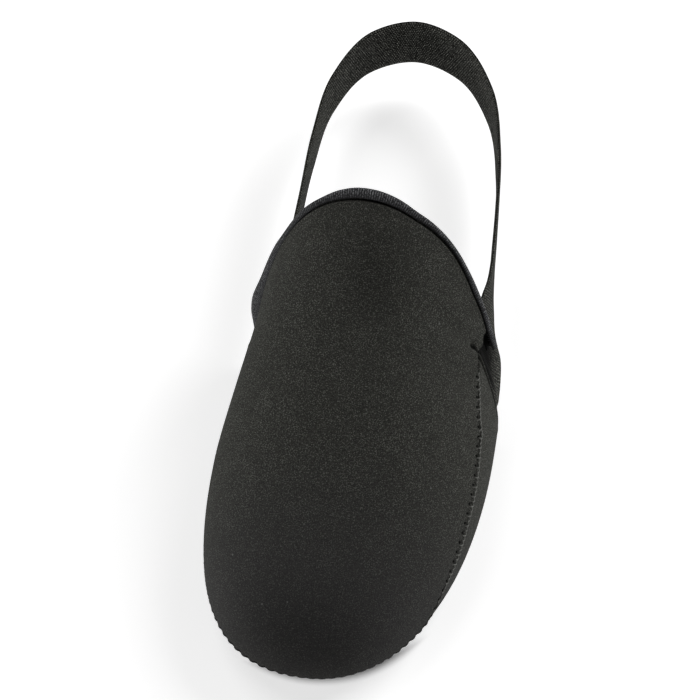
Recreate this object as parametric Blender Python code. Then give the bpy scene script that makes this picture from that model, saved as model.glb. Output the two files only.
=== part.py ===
"""Toe cover for the left shoe: a foam-cloth vamp, a sole panel, a collar binding and a heel strap.

The cover stands on its sole panel in the form it has when worn. Lengths are worked out from the toe
tip backwards (+Y), the outer side of the foot is +X and the floor is z = 0. At the end everything is
shifted so that the origin lies under the middle of the whole cover.
"""

from collections import namedtuple

import bmesh
import bpy
import numpy as np

MM = 0.001

# Sheet goods
WALL = 2.5 * MM
TAPE = 1.2 * MM
STRAP = 1.6 * MM
GAP = 0.3 * MM

# Outline of the worn cover, one row for each side of the foot: half width at the ball, how far the
# ball lies behind the toe tip, fullness of the toe curve, narrowing one waist run behind the ball,
# where the collar ends on that side, how late the collar bows forward, and the rear edge of the sole
# panel at the seam and on the floor.
Side = namedtuple("Side", "sign width reach fullness waist collar bow panel_top panel_floor")
LATERAL = Side(+1, 58.6 * MM, 106 * MM, 2.05, 5.6 * MM, 137 * MM, 2.6, 127.4 * MM, 127.8 * MM)
MEDIAL = Side(-1, 53.4 * MM, 84 * MM, 2.50, 11.0 * MM, 155 * MM, 3.75, 154 * MM, 134 * MM)
WAIST_RUN = 67 * MM
TIP_X = -3 * MM

# Crown of the vamp: centre of the ball, top of the collar, and the heights of the ridge line.
BALL_X = -2.0 * MM
BALL_Y = 95 * MM
COLLAR_X = -3.9 * MM
COLLAR_Y = 168.6 * MM
TOE_CROWN = 58 * MM
COLLAR_CROWN = 96.8 * MM
CROWN_ROUNDNESS = 2.1

# Lower edge: height of the widest line, corner radius inwards, toe spring and where it starts.
WIDEST = 10 * MM
CORNER = 10 * MM
TOE_SPRING = 7 * MM
SPRING_START = 64 * MM

# Section by section round the cover: height of the seam above the widest line (below it, skin distance),
# how full the flank is between seam and crown, and the share by which its foot is drawn in. Stations:
# -1 outer collar end, 0 outer ball, 0.5 toe tip, 1 inner ball, 2 inner collar end.
Section = namedtuple("Section", "station seam flank draw_in")
SECTIONS = (
    Section(-1.00, 35 * MM, 1.91, 0.00),
    Section(-0.70, 36.5 * MM, 1.74, 0.00),
    Section(-0.40, 30.6 * MM, 1.65, 0.00),
    Section(0.00, 25.9 * MM, 1.75, 0.00),
    Section(0.12, 20.3 * MM, 1.90, 0.00),
    Section(0.22, 16 * MM, 2.00, 0.00),
    Section(0.30, 10.6 * MM, 2.10, 0.00),
    Section(0.345, 5 * MM, 2.10, 0.00),
    Section(0.375, -1.6 * MM, 2.10, 0.00),
    Section(0.42, -4.6 * MM, 2.10, 0.00),
    Section(0.50, -5.5 * MM, 2.10, 0.00),
    Section(0.62, -4.5 * MM, 2.10, 0.00),
    Section(0.80, -2 * MM, 2.05, 0.00),
    Section(1.00, 0 * MM, 2.00, 0.00),
    Section(1.60, 0.6 * MM, 2.16, 0.03),
    Section(2.00, 1 * MM, 2.80, -0.10),
)

# Sole panel: its rear edge in the middle, and the share of its grid that lies flat.
PANEL_END = 127 * MM
SOLE_FLAT_SHARE = 0.5

# Collar binding: flap length on each face of the wall, its clearance, and its ends short of the seam.
FLAP = 2.6 * MM
FOLD_GAP = 0.4 * MM
BINDING_END = 0.97

# Heel strap: edges above the widest line and section runs where it is sewn in, the middle line of its
# loop, then its free run round the heel as foot of the band, with the lean of its top edge inwards.
STRAP_FOOT = 3 * MM
STRAP_WIDTH = 30 * MM
SEWN_LATERAL = (0.31, 0.54, 0.76)
SEWN_MEDIAL = (1.00, 0.90, 0.80)
LOOP_MIDDLE_Y = (140 * MM, 228 * MM)
Strap = namedtuple("Strap", "x y foot lean")
STRAP_RUN = (
    Strap(56.7 * MM, 133.5 * MM, 12.5 * MM, 9.0 * MM),
    Strap(56.3 * MM, 141.0 * MM, 13.0 * MM, 9.2 * MM),
    Strap(55.2 * MM, 150.5 * MM, 13.0 * MM, 9.4 * MM),
    Strap(53.4 * MM, 157.5 * MM, 13.0 * MM, 8.0 * MM),
    Strap(51.8 * MM, 163.5 * MM, 13.0 * MM, 5.9 * MM),
    Strap(50.8 * MM, 169.5 * MM, 13.2 * MM, 3.6 * MM),
    Strap(49.6 * MM, 177.0 * MM, 13.5 * MM, 1.8 * MM),
    Strap(48.6 * MM, 188.0 * MM, 14.0 * MM, 1.0 * MM),
    Strap(47.6 * MM, 207.0 * MM, 14.5 * MM, 0.7 * MM),
    Strap(45.3 * MM, 236.0 * MM, 15.0 * MM, 0.7 * MM),
    Strap(38.4 * MM, 266.0 * MM, 16.0 * MM, 1.0 * MM),
    Strap(22.5 * MM, 288.0 * MM, 17.0 * MM, 1.2 * MM),
    Strap(3.0 * MM, 295.0 * MM, 17.0 * MM, 1.2 * MM),
    Strap(-16.0 * MM, 287.0 * MM, 17.0 * MM, 1.2 * MM),
    Strap(-30.0 * MM, 263.0 * MM, 16.0 * MM, 1.2 * MM),
    Strap(-34.5 * MM, 233.0 * MM, 15.0 * MM, 1.2 * MM),
    Strap(-36.0 * MM, 201.0 * MM, 14.0 * MM, 1.8 * MM),
    Strap(-37.5 * MM, 174.0 * MM, 13.5 * MM, 2.4 * MM),
)
STRAP_LINES = (0.0, 0.5, 1.0)

# Finishes: name, colour and roughness.
Finish = namedtuple("Finish", "name colour roughness")
UPPER_FOAM = Finish("foam_cloth_upper", (0.026, 0.027, 0.024), 0.90)
SOLE_FOAM = Finish("foam_cloth_sole", (0.022, 0.023, 0.021), 0.92)
TAPE_RIB = Finish("ribbed_tape", (0.030, 0.030, 0.028), 0.80)
WOVEN_WEB = Finish("woven_elastic", (0.032, 0.032, 0.030), 0.85)

# Mesh density
OUTLINE_STEPS = 200
STRAP_STEPS = 96
COLUMNS = 36
REAR_ROWS = 9
FOLD_STEPS = 7
NORMAL_STEP = 1e-4
CROWN_ANGLE = np.pi / 2 - 0.02
WELD = 1e-6


def lerp(start, end, share):
    """Straight blend from start to end."""
    return start + (end - start) * share


def smooth_table(at, places, values):
    """Cubic curve through a table's values, with each slope taken from its two neighbours."""
    places = np.asarray(places, float)
    values = np.asarray(values, float)
    slopes = np.gradient(values, places, axis=0)
    index = np.clip(np.searchsorted(places, at, side="right") - 1, 0, len(places) - 2)
    span = places[index + 1] - places[index]
    t = (at - places[index]) / span
    trailing = (1,) * (values.ndim - 1)
    t = t.reshape(t.shape + trailing)
    span = span.reshape(span.shape + trailing)
    keep = (1 + 2 * t) * (1 - t) ** 2
    rise = t * (1 - t) ** 2 * span
    fall = t * t * (t - 1) * span
    return (
        values[index] * keep
        + values[index + 1] * (1 - keep)
        + slopes[index] * rise
        + slopes[index + 1] * fall
    )


def half_width(side, y):
    """Half width of the outline behind the ball."""
    return side.width - side.waist * ((y - side.reach) / WAIST_RUN) ** 2


def toe_outline():
    """Toe half of the outline as bearing and distance from the ball's centre, outer side first."""
    turn = np.linspace(0, np.pi / 2, OUTLINE_STEPS)
    xs = []
    ys = []
    for side, order in ((LATERAL, turn), (MEDIAL, turn[-2::-1])):
        power = 2 / side.fullness
        xs.append(lerp(TIP_X, side.sign * side.width, np.cos(order) ** power))
        ys.append(side.reach * (1 - np.sin(order) ** power))
    x = np.concatenate(xs) - BALL_X
    y = BALL_Y - np.concatenate(ys)
    bearing = np.arctan2(y, x)
    return np.where(bearing < -np.pi / 2, bearing + 2 * np.pi, bearing), np.hypot(x, y)


TOE_BEARING, TOE_DISTANCE = toe_outline()
TOE_RUN = np.pi * TOE_DISTANCE.mean()


def edge_place(station):
    """Distance along the outline from the outer ball, which spaces the rows of SECTIONS truly."""
    rear_lateral = LATERAL.reach - LATERAL.collar
    rear_medial = TOE_RUN + MEDIAL.collar - MEDIAL.reach
    return np.interp(station, (-1, 0, 1, 2), (rear_lateral, 0, TOE_RUN, rear_medial))


SECTION_PLACES = edge_place([row.station for row in SECTIONS])


def rib(station):
    """Outline point, crown point and bend of the section line at each station round the cover."""
    run = np.maximum(np.maximum(-station, station - 1), 0)
    lateral = station < 0.5
    bearing = lerp(TOE_BEARING[0], TOE_BEARING[-1], np.clip(station, 0, 1))
    distance = smooth_table(bearing, TOE_BEARING, TOE_DISTANCE)
    foot_y = np.where(
        lateral,
        lerp(LATERAL.reach, LATERAL.collar, run),
        lerp(MEDIAL.reach, MEDIAL.collar, run),
    )
    foot_x = np.where(lateral, half_width(LATERAL, foot_y), -half_width(MEDIAL, foot_y))
    front = run <= 0
    foot_x = np.where(front, BALL_X + distance * np.cos(bearing), foot_x)
    foot_y = np.where(front, BALL_Y - distance * np.sin(bearing), foot_y)
    crown_x = lerp(BALL_X, COLLAR_X, run)
    crown_y = lerp(BALL_Y, COLLAR_Y, run)
    return foot_x, foot_y, crown_x, crown_y, run


def crown_height(y):
    """Height of the ridge line above the floor."""
    return TOE_CROWN + (COLLAR_CROWN - TOE_CROWN) * (y / COLLAR_Y) ** 2


def toe_lift(y):
    """How far the toe spring lifts the cover off the floor."""
    return TOE_SPRING * (np.maximum(SPRING_START - y, 0) / SPRING_START) ** 2


def seam_rise(station):
    """Height of the seam above the widest line."""
    return smooth_table(edge_place(station), SECTION_PLACES, [row.seam for row in SECTIONS])


def flank_fullness(station):
    """How full the flank is between the widest line and the crown."""
    return smooth_table(edge_place(station), SECTION_PLACES, [row.flank for row in SECTIONS])


def draw_in(station):
    """Share by which the foot of the flank is drawn in under the arch."""
    return smooth_table(edge_place(station), SECTION_PLACES, [row.draw_in for row in SECTIONS])


def rise_angle(station, rise):
    """Section angle at a height above the widest line, or at a skin distance below it."""
    foot_y = rib(station)[1]
    share = np.maximum(rise, 0) / (crown_height(foot_y) - WIDEST)
    return np.where(rise > 0, np.arcsin(share ** (flank_fullness(station) / 2)), rise / CORNER)


def skin(station, angle):
    """Outer face of the worn cover at a station and a section angle, as an array of points.

    Above the widest line a section is a quarter of a rounded oval up to the crown, and below it a
    quarter turn into the flat underside.
    """
    foot_x, foot_y, crown_x, crown_y, bend = rib(station)
    up = np.clip(angle, 0, np.pi / 2)
    out = np.cos(up) ** (2 / CROWN_ROUNDNESS)
    high = np.sin(up) ** (2 / flank_fullness(station))
    out = out * (1 - draw_in(station) * (1 - high) ** 2)
    bow = np.where(station < 0.5, LATERAL.bow, MEDIAL.bow)
    x = lerp(crown_x, foot_x, out)
    y = lerp(crown_y, foot_y, lerp(out, out**bow, bend))
    z = WIDEST + (crown_height(y) - WIDEST) * high
    down = np.clip(-angle, 0, np.pi / 2)
    inward_x, inward_y = inward(station)
    tuck = CORNER * (1 - np.cos(down))
    x = x + inward_x * tuck
    y = y + inward_y * tuck
    z = z - WIDEST * np.sin(down)
    return np.stack([x, y, z + toe_lift(y)], axis=-1)


def inward(station):
    """Plan direction square to the outline, pointing into the cover."""
    ahead = rib(station + NORMAL_STEP)
    behind = rib(station - NORMAL_STEP)
    along_x = ahead[0] - behind[0]
    along_y = ahead[1] - behind[1]
    length = np.hypot(along_x, along_y)
    return along_y / length, -along_x / length


def square_to_fan(across, along):
    """Share of the way from crown to seam, and the station, for a point of the square grid.

    across runs from 1 (outer seam) to -1 (inner seam), along from 1 (toe) over 0 (ball) to -1 (rear).
    The toe half wraps square rings of the grid on to round rings about the ball's centre.
    """
    front = np.maximum(along, 0)
    share = np.maximum(np.abs(across), front)
    safe = np.where(share > 0, share, 1)
    toe = front > np.abs(across)
    side_turn = front / safe / 4
    station = np.where(across >= 0, side_turn, 1 - side_turn)
    station = np.where(toe, 0.5 - across / safe / 4, station)
    rear = np.maximum(-along, 0)
    station = np.where(along < 0, np.where(across >= 0, -rear, 1 + rear), station)
    return share, station


def grid_lines():
    """Across and along values of a cover grid, toe row first, with vertices on the toe's diagonals."""
    across = np.linspace(1, -1, COLUMNS + 1)
    along = np.concatenate([across[: COLUMNS // 2 + 1], np.linspace(0, -1, REAR_ROWS + 1)[1:]])
    return np.meshgrid(across, along)


def unit(vectors):
    """Vectors scaled to length one."""
    return vectors / np.linalg.norm(vectors, axis=-1, keepdims=True)


def skin_normal(station, angle):
    """Outward direction of the skin, taken just beside the crown where the sections meet."""
    angle = np.minimum(angle, CROWN_ANGLE)
    along = skin(station + NORMAL_STEP, angle) - skin(station - NORMAL_STEP, angle)
    up = skin(station, angle + NORMAL_STEP) - skin(station, angle - NORMAL_STEP)
    return unit(np.cross(up, along))


def upper_faces():
    """Outer and inner face of the upper, from the toe seam back to the collar."""
    share, station = square_to_fan(*grid_lines())
    seam = rise_angle(station, seam_rise(station))
    angle = lerp(np.pi / 2, seam, share)
    outer = skin(station, angle)
    return outer, outer - WALL * skin_normal(station, angle)


def panel_run(side, wall):
    """Run behind the ball of the sole panel's rear edge on one side, from the floor up to the seam."""
    end = lerp(side.panel_floor, side.panel_top, wall)
    return (end - side.reach) / (side.collar - side.reach)


def sole_faces():
    """Outer and inner face of the sole panel: flat underside, rounded edge and wall up to the seam."""
    share, station = square_to_fan(*grid_lines())
    wall = np.clip((share - SOLE_FLAT_SHARE) / (1 - SOLE_FLAT_SHARE), 0, 1)
    flat = np.clip(share / SOLE_FLAT_SHARE, 0, 1)
    run = np.maximum(np.maximum(-station, station - 1), 0)
    run_here = run * np.where(station < 0.5, panel_run(LATERAL, wall), panel_run(MEDIAL, wall))
    station = np.where(station < 0, -run_here, np.where(station > 1, 1 + run_here, station))
    angle = rise_angle(station, lerp(-CORNER * np.pi / 2, seam_rise(station) - GAP, wall))
    edge = skin(station, angle)
    x = lerp(BALL_X, edge[..., 0], flat)
    y = lerp(lerp(BALL_Y, PANEL_END, run), edge[..., 1], flat)
    under = wall <= 0
    outer = np.stack([x, y, np.where(under, toe_lift(y), edge[..., 2])], axis=-1)
    slope = (toe_lift(y + NORMAL_STEP) - toe_lift(y - NORMAL_STEP)) / (2 * NORMAL_STEP)
    down = unit(np.stack([np.zeros_like(y), slope, -np.ones_like(y)], axis=-1))
    return outer, outer - WALL * np.where(under[..., None], down, skin_normal(station, angle))


def collar_frame():
    """Collar edge from outer to inner side: points, backward directions and outward normals."""
    across = np.clip(np.linspace(1, -1, COLUMNS + 1), -BINDING_END, BINDING_END)
    station = np.where(across >= 0, -1.0, 2.0)
    seam = rise_angle(station, seam_rise(station))
    angle = lerp(np.pi / 2, seam, np.abs(across))
    points = skin(station, angle)
    tangent = unit(np.gradient(points, axis=0))
    normal = skin_normal(station, angle)
    return points, unit(np.cross(tangent, normal)), normal


def binding_profile():
    """Folded tape as (backward, outward) offsets from the collar edge, with a round fold."""
    outer = FOLD_GAP + TAPE
    inner = -(WALL + FOLD_GAP)
    middle = -WALL / 2
    radius = outer - middle
    turn = np.linspace(np.pi / 2, -np.pi / 2, FOLD_STEPS)
    fold_outer = [(outer * np.cos(t), middle + radius * np.sin(t)) for t in turn]
    return np.array(
        [(-FLAP, FOLD_GAP), (-FLAP, outer)]
        + fold_outer
        + [(-FLAP, inner - TAPE), (-FLAP, inner), (FOLD_GAP, inner), (FOLD_GAP, FOLD_GAP)]
    )


def binding_points():
    """Rings of the collar binding along the collar edge."""
    points, backward, normal = collar_frame()
    profile = binding_profile()
    offset_back = profile[None, :, 0, None] * backward[:, None, :]
    offset_out = profile[None, :, 1, None] * normal[:, None, :]
    return points[:, None, :] + offset_back + offset_out


def sewn_strap(station, depth):
    """Foot, middle and top of the band where it lies inside the wall at a station."""
    rise = STRAP_FOOT + STRAP_WIDTH * np.array(STRAP_LINES)
    place = np.full_like(rise, station)
    angle = rise_angle(place, rise)
    return skin(place, angle) - skin_normal(place, angle) * depth


def free_strap(row):
    """Foot, middle and top of the band at a row of its free run."""
    foot = np.array([row.x, row.y, row.foot])
    into_loop = unit(np.array([BALL_X - row.x, np.clip(row.y, *LOOP_MIDDLE_Y) - row.y]))
    top = foot + np.array([*(into_loop * row.lean), STRAP_WIDTH])
    return lerp(foot, top, np.array(STRAP_LINES)[:, None])


def strap_points():
    """Middle face of the heel strap, from the outer to the inner side."""
    behind_sole = WALL + GAP + STRAP / 2
    behind_binding = behind_sole + 2 * GAP + TAPE
    rows = [sewn_strap(-run, behind_sole) for run in SEWN_LATERAL]
    rows += [free_strap(row) for row in STRAP_RUN]
    rows += [sewn_strap(1 + run, behind_binding) for run in SEWN_MEDIAL]
    rows = np.array(rows)
    steps = np.linalg.norm(np.diff(rows[:, 1], axis=0), axis=1)
    places = np.concatenate([[0], np.cumsum(steps)])
    return smooth_table(np.linspace(0, places[-1], STRAP_STEPS + 1), places, rows)


def material(finish):
    """Plain dielectric material of a finish."""
    made = bpy.data.materials.new(finish.name)
    made.use_nodes = True
    shader = made.node_tree.nodes["Principled BSDF"]
    shader.inputs["Base Color"].default_value = (*finish.colour, 1.0)
    shader.inputs["Roughness"].default_value = finish.roughness
    shader.inputs["Metallic"].default_value = 0.0
    return made


def link(name, bm, finish):
    """Make a scene object of a finished bmesh."""
    mesh = bpy.data.meshes.new(name)
    bm.to_mesh(mesh)
    bm.free()
    mesh.materials.append(material(finish))
    mesh.shade_smooth()
    thing = bpy.data.objects.new(name, mesh)
    bpy.context.collection.objects.link(thing)
    return thing


def add_grid(bm, points, flip=False):
    """Triangles between the rows and columns of a point grid. Returns the grid of vertices.

    Each cell is split towards the middle column, so that the toe's diagonals run along edges.
    """
    verts = [[bm.verts.new(point) for point in row] for row in points]
    middle = (points.shape[1] - 1) / 2
    for above, below in zip(verts, verts[1:]):
        for j in range(len(above) - 1):
            a, b, c, d = above[j], above[j + 1], below[j + 1], below[j]
            halves = ((a, b, c), (a, c, d)) if j < middle else ((a, b, d), (b, c, d))
            for half in halves:
                bm.faces.new(half[::-1] if flip else half)
    return verts


def shell(name, outer, inner, finish):
    """Closed wall between an outer and an inner face grid."""
    bm = bmesh.new()
    rims = []
    for points, flip in ((outer, False), (inner, True)):
        verts = add_grid(bm, points, flip)
        left = [row[0] for row in verts]
        right = [row[-1] for row in verts]
        rims.append(verts[0] + right[1:] + verts[-1][-2::-1] + left[-2:0:-1])
    for k in range(len(rims[0])):
        bm.faces.new((rims[0][k], rims[0][k - 1], rims[1][k - 1], rims[1][k]))
    bmesh.ops.recalc_face_normals(bm, faces=bm.faces)
    return link(name, bm, finish)


def build_upper():
    """Hollow vamp, open behind and underneath."""
    return shell("upper", *upper_faces(), UPPER_FOAM)


def build_sole():
    """Sole panel with its edge drawn up to the seam."""
    return shell("sole", *sole_faces(), SOLE_FOAM)


def build_binding():
    """Elastic tape folded over the collar edge, capped at both ends."""
    bm = bmesh.new()
    rings = binding_points()
    add_grid(bm, np.concatenate([rings, rings[:, :1]], axis=1))
    bmesh.ops.remove_doubles(bm, verts=bm.verts, dist=WELD)
    bmesh.ops.holes_fill(bm, edges=bm.edges, sides=0)
    bmesh.ops.recalc_face_normals(bm, faces=bm.faces)
    return link("collar_binding", bm, TAPE_RIB)


def build_strap():
    """Elastic band from the outer side round the heel to the inner side."""
    bm = bmesh.new()
    add_grid(bm, strap_points())
    strap = link("heel_strap", bm, WOVEN_WEB)
    solid = strap.modifiers.new("Thickness", "SOLIDIFY")
    solid.thickness = STRAP
    solid.offset = 0
    solid.use_even_offset = True
    return strap


def stand_on_origin(things):
    """Shift all meshes so the origin is under the middle of the whole cover."""
    graph = bpy.context.evaluated_depsgraph_get()
    corners = []
    for thing in things:
        mesh = thing.evaluated_get(graph).to_mesh()
        corners.append(np.array([vert.co for vert in mesh.vertices]))
    points = np.concatenate(corners)
    low = points.min(axis=0)
    high = points.max(axis=0)
    shift = -np.array([(low[0] + high[0]) / 2, (low[1] + high[1]) / 2, low[2]])
    for thing in things:
        thing.location = shift


def main():
    """Build the four pieces of the cover."""
    for old in list(bpy.data.objects):
        bpy.data.objects.remove(old)
    pieces = [build_upper(), build_sole(), build_binding(), build_strap()]
    stand_on_origin(pieces)


main()
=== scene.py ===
"""Looks of the toe cover: knit-faced foam cloth, an overlock seam, ribbed tape and a woven elastic band.

Shapes are worked out in the shoe's own frame: y runs back from the toe tip, +X is the outer side of the
left foot and the floor is z = 0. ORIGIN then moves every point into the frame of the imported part.
"""

import logging
from dataclasses import dataclass, field
from enum import Enum, IntEnum
from functools import cached_property

import bpy
import numpy as np
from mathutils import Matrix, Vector

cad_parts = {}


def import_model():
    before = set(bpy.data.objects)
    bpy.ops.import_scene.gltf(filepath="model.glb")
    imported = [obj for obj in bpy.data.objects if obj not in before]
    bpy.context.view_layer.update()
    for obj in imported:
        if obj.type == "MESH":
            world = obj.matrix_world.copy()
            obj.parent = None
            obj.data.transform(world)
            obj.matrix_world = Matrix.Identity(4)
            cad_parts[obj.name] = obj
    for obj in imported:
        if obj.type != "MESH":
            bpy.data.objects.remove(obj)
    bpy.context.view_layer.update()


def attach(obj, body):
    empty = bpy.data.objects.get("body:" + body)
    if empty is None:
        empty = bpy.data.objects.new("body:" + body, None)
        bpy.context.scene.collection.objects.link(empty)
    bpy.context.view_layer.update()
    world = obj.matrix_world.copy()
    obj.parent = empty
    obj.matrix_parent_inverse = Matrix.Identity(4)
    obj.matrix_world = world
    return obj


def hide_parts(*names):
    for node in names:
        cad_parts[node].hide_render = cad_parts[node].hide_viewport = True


Array = np.ndarray
Material = bpy.types.Material
Node = bpy.types.Node
Socket = bpy.types.NodeSocket
Thing = bpy.types.Object
Tree = bpy.types.NodeTree
Pair = tuple[float, float]
Triple = tuple[float, float, float]
PairTable = tuple[Pair, ...]
LOG = logging.getLogger("toe_cover")

MM = 0.001
ORIGIN = np.array([-2.51046, -147.88142, 0.0]) * MM
RIGHT_ANGLE = np.pi / 2
FULL_TURN = 2 * np.pi
# Colour that painted shade darkens towards
BLACK = (0.0025, 0.0025, 0.0025)
WHITE = (1.0, 1.0, 1.0)
SPECULAR = 0.03
SHEEN_ROUGHNESS = 0.45
# Distance from the seam, in millimetres, kept where there are no stitches
UNSEWN = 99.0
# Any direction that no thread runs along, to start the rings round a thread from
THREAD_LEAN = np.array([0.31, 0.17, 0.94])


def lerp(start: Array, end: Array, share: Array) -> Array:
    """Straight blend from start to end."""
    return start + (end - start) * share


def smoothstep(low: float, high: float, value: Array) -> Array:
    """Blend from 0 at low to 1 at high with level ends, t * t * (3 - 2 t)."""
    t = np.clip((value - low) / (high - low), 0.0, 1.0)
    return t * t * (3.0 - 2.0 * t)


def hump(value: Array, middle: float, spread: float) -> Array:
    """Bell curve of height one, exp of minus the squared distance from the middle in spreads."""
    return np.exp(-(((value - middle) / spread) ** 2))


def unit(vectors: Array) -> Array:
    """Vectors scaled to length one."""
    return vectors / np.maximum(np.linalg.norm(vectors, axis=-1, keepdims=True), 1e-12)


def run_length(points: Array, axis: int = 0) -> Array:
    """Distance covered along one axis of a grid of points, starting from zero.

    Args:
        points: Grid of points, with the coordinates on the last axis.
        axis: Grid axis to walk along.

    Returns:
        Running distance at every grid point.
    """
    steps = np.linalg.norm(np.diff(points, axis=axis), axis=-1)
    start = np.zeros_like(np.take(steps, [0], axis=axis))
    return np.cumsum(np.concatenate([start, steps], axis=axis), axis=axis)


def smooth_table(at: Array, places: Array, values: Array) -> Array:
    """Cubic curve through a table's values, with each slope taken from its two neighbours.

    Args:
        at: Places to read.
        places: Rising places of the table's rows.
        values: Value of each row; further axes are read side by side.

    Returns:
        Values at the places asked for.
    """
    at = np.asarray(at, float)
    places = np.asarray(places, float)
    values = np.asarray(values, float)
    slopes = np.gradient(values, places, axis=0)
    index = np.clip(np.searchsorted(places, at, side="right") - 1, 0, len(places) - 2)
    span = places[index + 1] - places[index]
    t = (at - places[index]) / span
    trailing = (1,) * (values.ndim - 1)
    t = t.reshape(t.shape + trailing)
    span = span.reshape(span.shape + trailing)
    keep = (1 + 2 * t) * (1 - t) ** 2
    rise = t * (1 - t) ** 2 * span
    fall = t * t * (t - 1) * span
    level = values[index] * keep + values[index + 1] * (1 - keep)
    return level + slopes[index] * rise + slopes[index + 1] * fall


def pair_table(at: Array, table: PairTable) -> Array:
    """Cubic curve through a table of places and heights in millimetres, read in metres."""
    rows = np.array(table) * MM
    return smooth_table(at, rows[:, 0], rows[:, 1])


def finer_to_end(share: Array, steps: int = 17) -> Array:
    """Steps from a share of the way on to the whole way, closer together towards the end."""
    return 1 - (1 - share[..., None]) * np.linspace(1, 0, steps) ** 2


class Zone(IntEnum):
    """Material slots of a cloth piece."""

    FACE = 0
    LINING = 1
    CORE = 2


class Mark(Enum):
    """Values kept at each point for the materials: place beside the seam, and strength of painted shade."""

    STITCH = ("stitch", "FLOAT_VECTOR", "vector")
    # Strength of painted shade, 0 to 1: the colour is darkened towards black where shade falls
    PAINTED_SHADE = ("pit", "FLOAT", "value")


Marks = dict[Mark, Array]


@dataclass
class MeshDraft:
    """Surfaces gathered for one mesh, with cloth coordinates and marks at every point."""

    name: str
    points: list[Array] = field(default_factory=list)
    quads: list[Array] = field(default_factory=list)
    zones: list[Array] = field(default_factory=list)
    flats: list[Array] = field(default_factory=list)
    marks: dict[Mark, list[Array]] = field(default_factory=dict)
    count: int = 0

    def add_points(self, points: Array, flat: Array, marks: Marks | None = None) -> Array:
        """Takes in a grid of points.

        Args:
            points: Points in the shoe's frame, coordinates last.
            flat: Cloth coordinates in metres, for the surface pattern.
            marks: Values that the materials read at the points.

        Returns:
            Grid of the points' numbers in the mesh.
        """
        shape = points.shape[:-1]
        total = int(np.prod(shape))
        self.points.append(points.reshape(total, 3))
        self.flats.append(flat.reshape(total, 2))
        for mark, values in (marks or {}).items():
            self.marks.setdefault(mark, []).append(values.reshape(total, -1))
        numbers = np.arange(self.count, self.count + total).reshape(shape)
        self.count += total
        return numbers

    def add_grid(self, numbers: Array, zone: int = 0, flip: bool = False) -> None:
        """Adds the faces between the rows and columns of one numbered grid, or of many at once.

        Args:
            numbers: Point numbers, with rows and columns on the last two axes.
            zone: Material slot.
            flip: Whether the faces look the other way.
        """
        fore, back = numbers[..., :-1, :], numbers[..., 1:, :]
        quads = np.stack([fore[..., :-1], fore[..., 1:], back[..., 1:], back[..., :-1]], axis=-1)
        quads = (quads[..., ::-1] if flip else quads).reshape(-1, 4)
        self.quads.append(quads)
        self.zones.append(np.full(len(quads), int(zone), np.int32))

    def add_rings(self, numbers: Array) -> None:
        """Joins rings of points along a path, or along many at once, and caps both ends.

        The second half of a ring lies under its first half read backwards, so that a cap is a strip of
        faces between the two halves.

        Args:
            numbers: Point numbers, with path steps and ring points on the last two axes.
        """
        self.add_grid(np.concatenate([numbers, numbers[..., :1]], axis=-1))
        half = numbers.shape[-1] // 2
        for step, flip in ((0, True), (-1, False)):
            ring = numbers[..., step, :]
            strip = np.stack([ring[..., :half], ring[..., : half - 1 : -1]], axis=-2)
            self.add_grid(strip, flip=flip)

    def add_shell(self, outer: Array, inner: Array, flat: Array, marks: Marks) -> None:
        """Closes an outer and an inner face grid into one wall, with a strip of cut edge all round.

        Args:
            outer: Outer face.
            inner: Inner face.
            flat: Cloth coordinates of both faces.
            marks: Marks of the outer face; the inner face has no stitches and no painted shade.
        """
        blank = {
            Mark.STITCH: np.full_like(marks[Mark.STITCH], UNSEWN),
            Mark.PAINTED_SHADE: np.zeros_like(marks[Mark.PAINTED_SHADE]),
        }
        grids = [self.add_points(outer, flat, marks), self.add_points(inner, flat, blank)]
        self.add_grid(grids[0], Zone.FACE)
        self.add_grid(grids[1], Zone.LINING, flip=True)
        rims = [np.concatenate([grid[0], grid[1:, -1], grid[-1, -2::-1], grid[-2::-1, 0]]) for grid in grids]
        self.add_grid(np.stack(rims), Zone.CORE, flip=True)

    @staticmethod
    def outward(points: Array, quads: Array) -> Array:
        """Faces turned so that the closed surface holds a positive volume, summed over its triangles."""
        first, second, third, fourth = (points[quads[:, corner]] for corner in range(4))
        volume = (first * (np.cross(second, third) + np.cross(third, fourth))).sum()
        return quads if volume > 0 else quads[:, ::-1]

    def build(self, materials: list[Material]) -> Thing:
        """Makes the mesh object, smooth-shaded and standing in the part's frame.

        Args:
            materials: Materials in the order of the slots.

        Returns:
            The finished object at the origin.
        """
        points = np.concatenate(self.points) + ORIGIN
        quads = self.outward(points, np.concatenate(self.quads)).astype(np.int32)
        flats = np.concatenate(self.flats)
        mesh = bpy.data.meshes.new(self.name)
        mesh.vertices.add(len(points))
        mesh.vertices.foreach_set("co", points.astype(np.float32).ravel())
        mesh.loops.add(quads.size)
        mesh.loops.foreach_set("vertex_index", quads.ravel())
        mesh.polygons.add(len(quads))
        mesh.polygons.foreach_set("loop_start", np.arange(0, quads.size, 4, dtype=np.int32))
        mesh.polygons.foreach_set("material_index", np.concatenate(self.zones))
        mesh.update(calc_edges=True)
        layer = mesh.uv_layers.new(name="cloth")
        layer.uv.foreach_set("vector", flats[quads.ravel()].astype(np.float32).ravel())
        for mark, values in self.marks.items():
            name, kind, key = mark.value
            attribute = mesh.attributes.new(name, kind, "POINT")
            attribute.data.foreach_set(key, np.concatenate(values).astype(np.float32).ravel())
        for made in materials:
            mesh.materials.append(made)
        mesh.shade_smooth()
        mesh.validate()
        thing = bpy.data.objects.new(self.name, mesh)
        bpy.context.collection.objects.link(thing)
        return thing


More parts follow.
